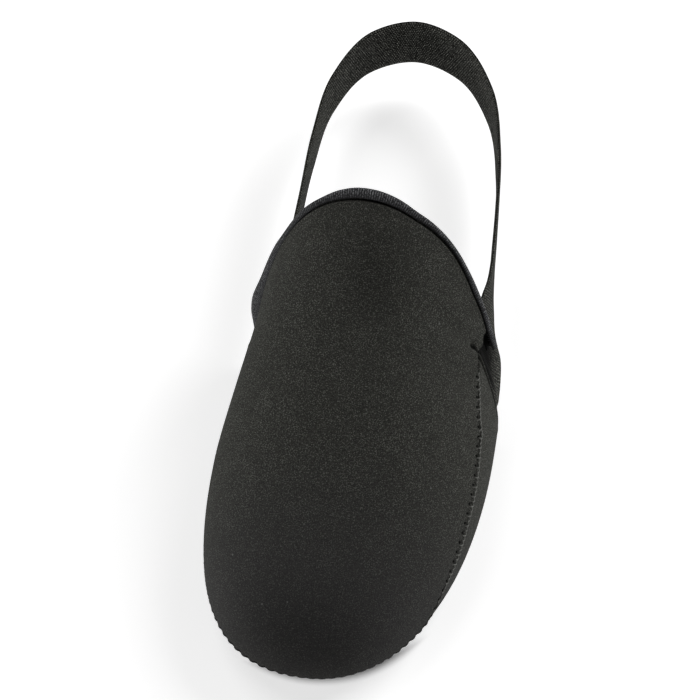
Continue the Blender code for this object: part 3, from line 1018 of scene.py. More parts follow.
class Dresser:
    """Makes the materials from the finishes."""

    def __init__(self) -> None:
        """Builds the shared patterns."""
        self.patterns = Patterns()

    @staticmethod
    def start(name: str, roughness: float, sheen: float = 0.0) -> tuple[Material, Graph, Node]:
        """Opens a material with its constants set on the shader itself."""
        made = bpy.data.materials.new(name)
        made.use_nodes = True
        graph = Graph(made.node_tree)
        shader = made.node_tree.nodes["Principled BSDF"]
        graph.put(shader, Metallic=0.0, Roughness=roughness, Specular_IOR_Level=SPECULAR)
        graph.put(shader, Sheen_Weight=sheen, Sheen_Roughness=SHEEN_ROUGHNESS)
        return made, graph, shader

    @staticmethod
    def place(graph: Graph) -> tuple[Socket, Socket]:
        """Object coordinates, and the cloth's own flat coordinates."""
        spot = graph.node("ShaderNodeTexCoord").outputs["Object"]
        flat = graph.node("ShaderNodeUVMap", uv_map="cloth").outputs["UV"]
        return spot, flat

    @staticmethod
    def coat(graph: Graph, shader: Node, colour: Socket, height: Socket, depth: float) -> None:
        """Puts a colour and a height pattern of one depth on the shader."""
        bump = graph.put(graph.node("ShaderNodeBump"), Strength=1.0, Distance=depth, Height=height)
        graph.put(shader, Base_Color=colour, Normal=bump.outputs["Normal"])

    def cloth(self, finish: ClothFinish, sewn: bool) -> Material:
        """Knit-faced foam cloth.

        Args:
            finish: Colours and depth.
            sewn: Whether the piece carries the marks of the seam and its painted shade.

        Returns:
            The material.
        """
        made, graph, shader = self.start(finish.name, finish.roughness, finish.sheen)
        spot, flat = self.place(graph)
        knit = graph.group(self.patterns.knit, Flat=flat, Place=spot, Wale=finish.wale)
        tone = graph.group(self.patterns.mottle, Place=spot, Depth=finish.tone).outputs["Shade"]
        lint = graph.group(self.patterns.lint, Place=spot, Amount=finish.lint_amount).outputs["Speck"]
        # Painted shade: fewer flecks and dark fibres towards the toe
        behind = graph.ramp(graph.split(spot)[1], *finish.toe_end)
        drawn = graph.math("MULTIPLY_ADD", behind, 1 - finish.shaded_toe_grain, finish.shaded_toe_grain)
        yarn = graph.mix(behind, finish.toe_yarn, finish.yarn)
        share = graph.times(graph.times(knit.outputs["Fleck"], finish.fleck_share), drawn)
        colour = graph.mix(graph.times(share, tone), yarn, finish.fleck)
        colour = graph.mix(graph.times(knit.outputs["Dark"], drawn), colour, finish.dark)
        colour = graph.mix(graph.times(lint, finish.lint_share), colour, finish.lint)
        if sewn:
            # Painted shade: the needle holes and the pit mark darken the colour towards black
            stitch = graph.mark(Mark.STITCH).outputs["Vector"]
            hole = graph.group(self.patterns.needle_holes, Stitch=stitch).outputs["Hole"]
            pit = graph.mark(Mark.PAINTED_SHADE).outputs["Fac"]
            dark = graph.math("MAXIMUM", graph.times(hole, finish.needle_hole_shade), pit)
            colour = graph.mix(dark, colour, BLACK)
        rough = (finish.roughness + swing for swing in finish.rough_swing)
        graph.put(shader, Roughness=graph.ramp(tone, 0.7, 1.3, *rough))
        self.coat(graph, shader, colour, knit.outputs["Height"], finish.depth)
        return made

    def woven(self, finish: WovenFinish) -> Material:
        """Ribbed tape or woven elastic."""
        made, graph, shader = self.start(finish.name, finish.roughness)
        spot, flat = self.place(graph)
        weave = graph.group(self.patterns.weave, Flat=flat, Place=spot, Cord=finish.cord, Pick=finish.pick)
        tone = graph.group(self.patterns.mottle, Place=spot, Depth=finish.tone).outputs["Shade"]
        colour = graph.mix(graph.times(weave.outputs["Fleck"], tone), finish.yarn, finish.fleck)
        # Painted shade from the pit mark darkens the colour towards black
        pit = graph.mark(Mark.PAINTED_SHADE).outputs["Fac"]
        height = weave.outputs["Height"]
        rough = (finish.roughness + swing for swing in finish.rough_swing)
        graph.put(shader, Roughness=graph.ramp(height, 0.0, 1.0, *rough))
        self.coat(graph, shader, graph.mix(pit, colour, BLACK), height, finish.depth)
        return made

    def plain(self, finish: PlainFinish) -> Material:
        """Sewing thread or cut foam, with a fine grain."""
        made, graph, shader = self.start(finish.name, finish.roughness)
        spot, _ = self.place(graph)
        grain = graph.noise(spot, 1.0 / finish.grain)
        bright = tuple(finish.lift * value for value in finish.colour)
        colour = graph.mix(graph.ramp(grain, 0.35, 0.75), finish.colour, bright)
        self.coat(graph, shader, colour, grain, finish.depth)
        return made


def flatten(form: CoverForm, station: Array, centre_run: Array) -> Array:
    """Cloth coordinates of a fan of points laid flat, in metres.

    Every point keeps its distance over the cloth from the crown line. In the toe half it lies in the
    direction of its outline point, and further behind the ball more and more straight out to its side.

    Args:
        form: Shape of the cover.
        station: Stations of the points.
        centre_run: Distance over the cloth from the crown line or the ball's centre.

    Returns:
        Flat coordinates.
    """
    foot_x, foot_y, crown_x, crown_y, run = form.rib(station)
    level = 1 - smoothstep(0.0, 0.6, run)
    way = unit(np.stack([foot_x - crown_x, (foot_y - crown_y) * level], axis=-1))
    start = np.stack([np.zeros_like(run), np.where(run > 0, crown_y, form.ball_y)], axis=-1)
    return start + way * centre_run[..., None]


@dataclass
class Vamp:
    """Upper: hollow shell of foam cloth, open behind and underneath."""

    form: CoverForm
    seam: Seam
    collar: CollarLine
    grid: FanGrid = FanGrid(112, 80)
    crown_steps: int = 25
    groove_place: float = 3.0 * MM
    flap: float = 0.026
    flap_place: float = -0.775
    flap_spread: float = 0.055
    flap_start: float = 0.84
    # Strengths of painted shade: groove, pinch, loose and rolled edges, hollow and toe front
    groove_shade: float = 0.95
    groove_spread: float = 0.34 * MM
    pinch_shade: float = 0.9
    loose_edge_shade: float = 0.9
    loose_rim: Pair = (0.5 * MM, 0.9 * MM)
    loose_end: Pair = (-0.75, -0.70)
    rolled_edge_shade: float = 0.75
    rolled_rim: Pair = (0.8 * MM, 3.4 * MM)
    rolled_start: Pair = (0.28, 0.36)
    hollow_shade: float = 0.30
    painted_toe_shade: float = 0.34
    toe_end: Pair = (4 * MM, 36 * MM)
    toe_spread: float = 32 * MM
    flat_size: Pair = (176 * MM, 196 * MM)
    flat_area: float = 0.0215
    press: PairTable = (
        (0.0, -0.45), (2.3, -0.50), (2.85, -1.45), (3.3, -0.75), (3.8, 0.12), (5.5, 0.10), (9.0, 0.0),
        (200.0, 0.0),
    )
    creases: tuple[Crease, ...] = (
        Crease(((1, 159, 91), (3.5, 146, 86), (5.5, 134, 81.5), (5.5, 120, 77)), 10.5 * MM, 0.9 * MM),
        Crease(((46, 134, 51), (34, 133, 66), (14, 135, 76)), 4.5 * MM, 0.8 * MM),
        Crease(((46.5, 129, 49), (34, 126, 62), (16, 126, 70)), 6 * MM, -0.5 * MM),
        Crease(((44.2, 133.9, 53.6), (45.5, 133.7, 51.4), (46.6, 133.5, 49.6)), 2.4 * MM, 1.5 * MM),
        Crease(((-42.3, 146, 46), (-44.3, 138, 40), (-45.6, 130.5, 36)), 9 * MM, 1.9 * MM),
    )

    def section_angle(self, part: Array, station: Array) -> Array:
        """Section angle of a share of the way from the crown to the seam."""
        return lerp(RIGHT_ANGLE, self.form.seam_angle(station), part)

    def shade_marks(self, skin: Array, station: Array, from_seam: Array, from_collar: Array) -> Array:
        """Strength of the painted shade on the outer face.

        It is shade painted in the groove before the tape, in the pinch at the end of the seam, along the
        loose edge behind it, along the rolled edge from the toe on to the inner side, and over the vamp's
        hollow and the toe's front.

        Args:
            skin: Points of the smooth face.
            station: Stations of the points.
            from_seam: Distance from the seam over the cloth.
            from_collar: Distance from the collar, with the groove at groove_place.

        Returns:
            Values from 0 to 1.
        """
        groove = self.groove_shade * hump(from_collar, self.groove_place, self.groove_spread)
        pinch = self.seam.pinch
        pinched = self.pinch_shade * smoothstep(0.3, 0.85, -pinch.relief(skin) / pinch.depth)
        loose = (1 - smoothstep(*self.loose_rim, from_seam)) * (1 - smoothstep(*self.loose_end, station))
        rolled = (1 - smoothstep(*self.rolled_rim, from_seam)) * smoothstep(*self.rolled_start, station)
        hollow = self.creases[0]
        shade = self.hollow_shade * hollow.relief(skin) / -hollow.depth
        toe = 1 - smoothstep(*self.toe_end, skin[..., 1])
        toe = self.painted_toe_shade * toe * hump(skin[..., 0], self.form.tip_x, self.toe_spread)
        # Painted shade: the strongest part darkens the colour at each point
        parts = (groove, pinched, self.loose_edge_shade * loose, self.rolled_edge_shade * rolled, shade + toe)
        return np.maximum.reduce(parts)

    def build(self, face: Material, lining: Material, core: Material) -> Thing:
        """Makes the upper.

        Args:
            face: Outer knit.
            lining: Inner knit.
            core: Cut edge.

        Returns:
            The upper's object.
        """
        form = self.form
        share, station = self.grid.fan()
        angle = self.section_angle(share, station)
        lifted = hump(station, self.flap_place, self.flap_spread) * smoothstep(self.flap_start, 1.0, share)
        angle = angle - self.flap * lifted
        skin = form.skin(station, angle)
        normal = form.normal(station, angle)
        phase = form.seam_run(station) / self.seam.pitch
        deep = station[..., None]
        from_seam = form.section_run(station, self.section_angle(finer_to_end(share), deep))
        from_crown = self.section_angle(share[..., None] * np.linspace(0, 1, self.crown_steps), deep)
        back = run_length(skin, axis=0)
        groove = self.collar.value(np.clip(self.grid.lines()[0], -1, 1), "groove")
        from_collar = back[-1] - back + self.groove_place - groove
        soft = sum(crease.relief(skin) for crease in self.creases)
        height = soft + self.seam.relief(from_seam, phase, station, True)
        height = height + pair_table(from_collar, self.press)
        pinch = self.seam.pinch.relief(skin)
        beside = np.where(station > self.seam.first_stitch, from_seam / MM, UNSEWN)
        marks = self.seam.marks(phase, beside, self.shade_marks(skin, station, from_seam, from_collar))
        flat = flatten(form, station, form.section_run(station, from_crown))
        outer = skin + normal * (height + pinch)[..., None]
        inner = skin + normal * (soft + pinch - form.wall)[..., None]
        draft = MeshDraft("upper_cloth")
        draft.add_shell(outer, inner, flat, marks)
        return draft.build([face, lining, core])


@dataclass
class SolePanel:
    """Underside panel, its edge drawn up round the sole to the seam."""

    form: CoverForm
    seam: Seam
    grid: FanGrid = FanGrid(100, 60)
    flat_share: float = 0.42
    rear_thin: float = 1.1 * MM
    rear_thin_run: float = 8 * MM
    # Strengths of painted shade: in the hem's groove at the rear edge and on the rim where the wall turns
    # under
    hem_groove_shade: float = 0.95
    hem_place: float = 1.7 * MM
    hem_spread: float = 0.85 * MM
    turn_under_shade: float = 0.92
    under_start: Pair = (0.5 * MM, 4.5 * MM)
    under_end: Pair = (8.0 * MM, 11.5 * MM)
    flat_rise: float = 0.35
    flat_size: Pair = (132 * MM, 150 * MM)
    flat_area: float = 0.0134
    hem: PairTable = (
        (0.0, -0.15), (0.5, 0.02), (0.9, -0.18), (1.3, -0.60), (2.1, -0.60), (2.7, -0.05), (3.3, 0.14),
        (4.6, 0.06), (6.0, 0.0), (200.0, 0.0),
    )

    def rear_run(self, side: Side, wall: Array) -> Array:
        """Run behind the ball of the panel's rear edge on one side, from the floor up to the seam."""
        end = lerp(side.panel_floor, side.panel_top, wall)
        return (end - side.reach) / (side.collar - side.reach)

    def wall_angle(self, wall: Array, station: Array) -> Array:
        """Section angle of a share of the way up the wall, from the underside to just below the seam."""
        foot = -self.form.corner * RIGHT_ANGLE
        top = self.form.section_value(station, "seam") - self.form.gap
        return self.form.rise_angle(station, lerp(foot, top, wall))

    def build(self, face: Material, lining: Material, core: Material) -> Thing:
        """Makes the sole panel: flat underside, rounded edge and wall up to the seam.

        Args:
            face: Outer knit.
            lining: Inner knit.
            core: Cut edge.

        Returns:
            The panel's object.
        """
        form = self.form
        share, station = self.grid.fan()
        wall = np.clip((share - self.flat_share) / (1 - self.flat_share), 0, 1)
        under = np.clip(share / self.flat_share, 0, 1)
        run = np.maximum(np.maximum(-station, station - 1), 0)
        ends = [self.rear_run(side, wall) for side in (form.lateral, form.medial)]
        here = run * np.where(station < 0.5, *ends)
        station = np.where(station < 0, -here, np.where(station > 1, 1 + here, station))
        angle = self.wall_angle(wall, station)
        edge = form.skin(station, angle)
        x = lerp(form.ball_x, edge[..., 0], under)
        y = lerp(lerp(form.ball_y, form.panel_end, run), edge[..., 1], under)
        flat_part = wall <= 0
        skin = np.stack([x, y, np.where(flat_part, form.toe_lift(y), edge[..., 2])], axis=-1)
        slope = (form.toe_lift(y + form.nudge) - form.toe_lift(y - form.nudge)) / (2 * form.nudge)
        down = unit(np.stack([np.zeros_like(y), slope, -np.ones_like(y)], axis=-1))
        normal = np.where(flat_part[..., None], down, form.normal(station, angle))
        phase = form.seam_run(station) / self.seam.pitch
        from_seam = form.section_run(station, self.wall_angle(finer_to_end(wall), station[..., None]))
        back = run_length(skin, axis=0)
        from_rear = back[-1] - back
        beside = smoothstep(0.0, 0.25, wall)
        height = self.seam.relief(from_seam, phase, station, False)
        height = height + pair_table(from_rear, self.hem) * beside
        # Painted shade in the hem's groove and on the turn-under rim
        above = skin[..., 2] - form.toe_lift(y)
        under_rim = smoothstep(*self.under_start, above) * (1 - smoothstep(*self.under_end, above))
        hem = self.hem_groove_shade * hump(from_rear, self.hem_place, self.hem_spread) * beside
        pit = np.maximum(hem, self.turn_under_shade * under_rim)
        marks = self.seam.marks(phase, np.full_like(phase, UNSEWN), pit)
        plan = np.stack([x - form.ball_x, y - form.ball_y], axis=-1)
        rise = np.where(flat_part, 0.0, wall * np.linalg.norm(plan, axis=-1) * self.flat_rise)
        flat = plan + unit(plan) * rise[..., None]
        pinch = self.seam.pinch.relief(skin)
        outer = skin + normal * (height + pinch)[..., None]
        near_rear = 1 - smoothstep(0.0, self.rear_thin_run, from_rear)
        thin = self.rear_thin * near_rear * beside * (station < 0.5)
        inner = skin + normal * (pinch + thin - form.wall)[..., None]
        draft = MeshDraft("sole_cloth")
        draft.add_shell(outer, inner, flat, marks)
        return draft.build([face, lining, core])


@dataclass
class SeamThread:
    """Overlock thread: one slanted stitch over the groove at every needle hole, and the chain in it."""

    form: CoverForm
    seam: Seam
    radius: float = 0.24 * MM
    core_radius: float = 0.42 * MM
    core_depth: float = 1.7 * MM
    core_start: float = -0.67
    steps: int = 9
    chain_steps: int = 12
    reach_up: float = 0.1 * MM
    reach_down: float = 1.25 * MM
    lean: float = 0.7 * MM
    stitch_depth: float = 0.16 * MM
    stitch_sink: float = 0.80 * MM
    stitch_toe_sink: float = 0.50 * MM
    chain_share: float = 1.15
    chain_sway: float = 0.45 * MM
    chain_depth: float = 0.22 * MM
    chain_toe_sink: float = 0.55 * MM
    toe_start: Pair = (0.27, 0.34)
    short: float = 0.5 * MM

    def build(self, thread: Material) -> Thing:
        """Makes all stitches and the chain as one mesh.

        A stitch sinks at both ends and rises to just under the skin over the groove, deeper from the toe
        on to the inner side. The chain lies in the groove and sways from side to side twice in each
        stitch. A core cord under it closes the seam.

        Args:
            thread: Material of the thread.

        Returns:
            The thread's object.
        """
        form, seam = self.form, self.seam
        station, points, run = form.seam_line()
        normal = form.normal(station, form.seam_angle(station))
        along = unit(np.gradient(points, axis=0))
        up = np.cross(along, normal)
        draft = MeshDraft("seam_thread")
        first = np.interp(seam.first_stitch, station, run)
        middle = np.arange(int(first / seam.pitch) + 1, int(run[-1] / seam.pitch)) * seam.pitch

        def at(place: Array, values: Array) -> Array:
            """Values of the seam line at distances along it."""
            return np.stack([np.interp(place, run, values[:, axis]) for axis in range(3)], axis=-1)

        sunk = smoothstep(*self.toe_start, station)
        part = np.linspace(-1, 1, self.steps)
        aside = part * np.where(part > 0, seam.dent_place + self.reach_up, self.reach_down)
        place = np.clip(middle[:, None] + part * self.lean, 0, run[-1])
        depth = self.stitch_depth + self.stitch_sink * np.abs(part) ** 3
        depth = depth + self.stitch_toe_sink * np.interp(place, run, sunk)
        paths = at(place, points) + at(place, up) * aside[:, None] - at(place, normal) * depth[..., None]
        tubes(draft, paths, self.radius)
        finish = run[-1] - self.short
        chain = np.linspace(first, finish, len(middle) * self.chain_steps)
        sway = self.chain_sway * np.sin(2 * FULL_TURN * chain / seam.pitch)
        under = self.chain_depth + self.chain_toe_sink * np.interp(chain, run, sunk)
        line = at(chain, points) + at(chain, up) * sway[:, None] - at(chain, normal) * under[:, None]
        tubes(draft, line[None], self.radius * self.chain_share)
        begin = np.interp(self.core_start, station, run)
        core = np.linspace(begin, finish, len(middle) * self.chain_steps)
        inside = at(core, points) - at(core, up) * form.gap / 2 - at(core, normal) * self.core_depth
        tubes(draft, inside[None], self.core_radius)
        return draft.build([thread])


@dataclass
class CollarTape:
    """Ribbed elastic tape folded over the collar edge of the upper."""

    form: CoverForm
    collar: CollarLine
    rib: float = 0.93 * MM
    rib_steps: int = 6
    rib_height: float = 0.14 * MM
    lap: float = 0.38 * MM
    end: float = 0.992
    tail: float = 11 * MM
    # Painted shade on the inner leg of the tail past the collar's outer end
    tail_shade: float = 0.97
    tail_fade: float = 2 * MM
    outer_leg: Pair = (-3.0 * MM, -0.3 * MM)
    rim: Pair = (-1.0 * MM, 1.6 * MM)
    lift_end: float = 0.4 * MM
    line_steps: int = 4001
    profile_steps: int = 24
    rib_margin: float = 0.12
    rib_power: float = 0.7
    profile: PairTable = (
        (-2.62, -0.22), (-2.62, 0.25), (-2.20, 0.62), (-1.20, 0.92), (0.00, 1.05), (1.00, 0.62),
        (1.52, -0.35), (1.60, -1.30), (1.52, -2.25), (1.00, -3.20), (0.00, -3.55), (-1.20, -3.45),
        (-2.20, -3.20), (-2.62, -2.95),
    )
    lip: PairTable = (
        (-2.62, -2.64), (-1.20, -2.64), (0.00, -2.64), (0.35, -2.40), (0.35, -1.30), (0.35, -0.40),
        (0.00, -0.30), (-1.20, -0.30),
    )

    def edge(self, across: Array) -> tuple[Array, Array]:
        """Station and section angle of places along the collar edge, from 1 outer to -1 inner end."""
        station = np.where(across >= 0, -1.0, 2.0)
        return station, lerp(RIGHT_ANGLE, self.form.seam_angle(station), np.abs(across))

    def build(self, weave: Material) -> Thing:
        """Makes the tape.

        The folded profile is carried along the collar edge and ribbed by a row of round ridges. Its front
        edge follows the groove, its rim the width of the tape and its face the lift off the cloth.

        Args:
            weave: Material of the tape.

        Returns:
            The tape's object.
        """
        form = self.form
        dense = np.linspace(self.end, -self.end, self.line_steps)
        line = form.skin(*self.edge(dense))
        run = run_length(line)
        ribs = int((run[-1] + self.tail) / self.rib)
        place = np.linspace(-self.tail, run[-1], ribs * self.rib_steps + 1)
        across = np.interp(place, run, dense)
        station, angle = self.edge(across)
        normal = form.normal(station, angle)
        beyond = np.maximum(-place, 0)[:, None]
        points = form.skin(station, angle) + beyond * unit(line[0] - line[1])
        backward = unit(np.cross(unit(np.gradient(points, axis=0)), normal))
        corners = np.array(self.profile) * MM
        spaced = run_length(corners)
        fine = smooth_table(np.linspace(0, spaced[-1], self.profile_steps), spaced, corners)
        half = len(fine)
        hollow = np.array(self.lip) * MM
        hollow = smooth_table(np.linspace(0, 1, half), np.linspace(0, 1, len(hollow)), hollow)
        loop = np.concatenate([fine, hollow])
        arch = np.linspace(self.rib_margin, np.pi - self.rib_margin, half)
        window = np.concatenate([np.sin(arch) ** 0.5, np.zeros(half)])
        tangent = unit(np.gradient(loop, axis=0))
        swell = np.stack([-tangent[:, 1], tangent[:, 0]], axis=-1) * window[:, None]
        ridge = np.abs(np.cos(np.pi * (place / self.rib - 0.25))) ** self.rib_power - 0.5
        offset = loop + self.rib_height * ridge[:, None, None] * swell
        outer_leg = smoothstep(*self.outer_leg, loop[:, 1])
        ahead = np.minimum(loop[:, 0], 0) / -loop[0, 0] * outer_leg
        behind = smoothstep(*self.rim, loop[:, 0]) * (np.arange(len(loop)) < half)
        lifted = smoothstep(loop[0, 0], self.lift_end, loop[:, 0]) * outer_leg
        shift = self.collar.value(across, "groove") - self.lap + loop[0, 0]
        back = offset[..., 0] + ahead * shift[:, None] + behind * self.collar.value(across, "rim")[:, None]
        out = offset[..., 1] + lifted * self.collar.value(across, "rise")[:, None]
        rings = points[:, None] + back[..., None] * backward[:, None] + out[..., None] * normal[:, None]
        around = np.concatenate([run_length(fine), run_length(fine)[::-1]])
        flat = np.stack(np.broadcast_arrays(around, place[:, None]), axis=-1)
        draft = MeshDraft("collar_tape")
        # Painted shade: the tail's inner leg, past the collar end, is darkened towards black
        shaded_tail = smoothstep(0.0, self.tail_fade, beyond) * (1 - outer_leg)
        draft.add_rings(draft.add_points(rings, flat, {Mark.PAINTED_SHADE: self.tail_shade * shaded_tail}))
        return draft.build([weave])


@dataclass(frozen=True)
class BandRow:
    """Foot of the band at one place of its free run, and its top edge: lean inwards, lift and sweep back."""

    x: float
    y: float
    foot: float
    lean: float
    lift: float = 0.0
    sweep: float = 0.0


@dataclass
class HeelBand:
    """Elastic band sewn inside both side edges and passed round the heel."""

    form: CoverForm
    width: float = 30 * MM
    thickness: float = 1.6 * MM
    foot: float = 3 * MM
    tape: float = 1.2 * MM
    sewn_lateral: tuple[float, ...] = (0.31, 0.54, 0.76)
    sewn_medial: tuple[float, ...] = (1.00, 0.90, 0.80)
    corner_lift: tuple[float, ...] = (1.0 * MM, 3.0 * MM, 4.0 * MM)
    foot_spread: tuple[float, ...] = (0.0 * MM, 0.35 * MM, 2.6 * MM)
    middle_y: Pair = (140 * MM, 228 * MM)
    free: tuple[BandRow, ...] = (
        BandRow(57.2, 133.5, 12.5, 12.2, 3.0, 5.5), BandRow(57.0, 141.0, 13.0, 12.4, 3.0, 2.6),
        BandRow(55.8, 150.5, 13.0, 10.4, 1.2), BandRow(53.4, 157.5, 13.0, 8.0),
        BandRow(51.8, 163.5, 13.0, 5.9), BandRow(50.8, 169.5, 13.2, 3.6),
        BandRow(49.6, 177.0, 13.5, 1.8), BandRow(48.6, 188.0, 14.0, 1.0),
        BandRow(47.6, 207.0, 14.5, 0.7), BandRow(45.3, 236.0, 15.0, 0.7),
        BandRow(38.4, 266.0, 16.0, 1.0), BandRow(22.5, 288.0, 17.0, 1.2),
        BandRow(3.0, 295.0, 17.0, 1.2), BandRow(-16.0, 287.0, 17.0, 1.2),
        BandRow(-30.0, 263.0, 16.0, 1.2), BandRow(-34.5, 233.0, 15.0, 1.2),
        BandRow(-36.0, 201.0, 14.0, 1.8), BandRow(-37.5, 174.0, 13.5, 2.4),
    )
    # Painted shade on the band's upper part under the flap, fading along the run from the outer sewn end
    pocket: Pair = (27 * MM, 52 * MM)
    pocket_high: Pair = (0.12, 0.55)
    pocket_shade: float = 0.96
    selvedge_power: int = 14
    selvedge: float = 0.12 * MM
    tack_rows: tuple[float, ...] = (3.0 * MM, 8.0 * MM)
    tack_margin: float = 0.08
    tack_steps: int = 97
    tack_waves: int = 11
    tack_swing: float = 0.9 * MM
    tack_radius: float = 0.22 * MM
    tack_rise: float = 0.08 * MM
    steps: int = 520
    across: int = 22

    def lines(self) -> Array:
        """Foot, middle and top of the band at every row, from the outer to the inner side."""
        form = self.form
        behind_sole = form.wall + form.gap + self.thickness / 2
        behind_tape = behind_sole + 2 * form.gap + self.tape
        sewn = zip(self.sewn_lateral, self.corner_lift, self.foot_spread)
        rows = [self.sewn_row(-run, behind_sole, lift, spread) for run, lift, spread in sewn]
        rows += [self.free_row(row) for row in self.free]
        rows += [self.sewn_row(1 + run, behind_tape) for run in self.sewn_medial]
        return np.array(rows)

    def sewn_row(self, station: float, depth: float, lift: float = 0.0, spread: float = 0.0) -> Array:
        """Foot, middle and top of the band inside the wall, its top drawn up and its foot spread."""
        rise = self.foot + (self.width + lift) * np.array([0.0, 0.5, 1.0])
        place = np.full_like(rise, station)
        angle = self.form.rise_angle(place, rise)
        inset = depth - spread * np.array([1.0, 0.6, 0.0])
        return self.form.skin(place, angle) - self.form.normal(place, angle) * inset[:, None]

    def free_row(self, row: BandRow) -> Array:
        """Foot, middle and top of the band in its free run, leaning towards the loop's middle line."""
        x, y, lean = row.x * MM, row.y * MM, row.lean * MM
        into = unit(np.array([self.form.ball_x - x, np.clip(y, *self.middle_y) - y]))
        low = np.array([x, y, row.foot * MM])
        high = low + np.array([into[0] * lean, into[1] * lean + row.sweep * MM, self.width + row.lift * MM])
        return np.stack([low, (low + high) / 2, high])

    def surface(self) -> tuple[Array, Array, Array]:
        """Middle face of the band as a grid, its directions towards the outside, and its run."""
        rows = self.lines()
        places = run_length(rows[:, 1])
        run = np.linspace(0, places[-1], self.steps + 1)
        three = smooth_table(run, places, rows)
        t = np.linspace(0, 1, self.across)[:, None]
        low, mid, high = three[:, None, 0], three[:, None, 1], three[:, None, 2]
        face = low * (1 - t) * (1 - 2 * t) + mid * 4 * t * (1 - t) + high * t * (2 * t - 1)
        along = np.gradient(face, axis=0)
        up = np.gradient(face, axis=1)
        return face, unit(np.cross(along, up)), run

    def build(self, weave: Material) -> Thing:
        """Makes the band as a flat oval carried along its run, with rounded selvedges.

        Args:
            weave: Material of the band.

        Returns:
            The band's object.
        """
        face, away, run = self.surface()
        t = np.linspace(-1, 1, self.across)
        half = self.thickness / 2 * (1 - np.abs(t) ** self.selvedge_power) ** 0.5
        half = np.maximum(half, self.selvedge)
        outside = face + away * half[:, None]
        inside = face - away * half[:, None]
        rings = np.concatenate([outside, inside[:, ::-1]], axis=1)
        spread = np.linspace(0, self.width, self.across)
        spread = np.concatenate([spread, spread[::-1]])
        flat = np.stack(np.broadcast_arrays(spread, run[:, None]), axis=-1)
        # Painted shade: the pocket under the flap is darkened towards black
        high = smoothstep(*self.pocket_high, np.concatenate([t, t[::-1]]) / 2 + 0.5)
        near = 1 - smoothstep(*self.pocket, run)
        draft = MeshDraft("heel_band")
        pit = self.pocket_shade * near[:, None] * high
        draft.add_rings(draft.add_points(rings, flat, {Mark.PAINTED_SHADE: pit}))
        return draft.build([weave])

    def tacks(self, thread: Material) -> Thing:
        """Two zigzag rows at each sewn end, lying on the band's inner face."""
        face, away, run = self.surface()
        draft = MeshDraft("band_tacks")
        t = np.linspace(self.tack_margin, 1 - self.tack_margin, self.tack_steps)
        column = np.rint(t * (self.across - 1)).astype(int)
        fine = np.linspace(0, 1, self.across)
        zigzag = self.tack_swing * (2 * np.abs(2 * ((t * self.tack_waves) % 1) - 1) - 1)
        for place in (*self.tack_rows, *(run[-1] - inset for inset in self.tack_rows[::-1])):
            row = np.interp(place + zigzag, run, np.arange(len(run)))
            low = np.clip(np.floor(row).astype(int), 0, len(run) - 2)
            spot = lerp(face[low, column], face[low + 1, column], (row - low)[:, None])
            for axis in range(3):
                spot[:, axis] += np.interp(t, fine, face[low[0], :, axis]) - face[low[0], column, axis]
            path = spot - away[low, column] * (self.thickness / 2 + self.tack_rise)
            tubes(draft, path[None], self.tack_radius)
        return draft.build([thread])


@dataclass(frozen=True)
class Lamp:
    """Soft light panel: place and size in metres, and power in watts."""

    name: str
    place: Triple
    size: Pair
    power: float


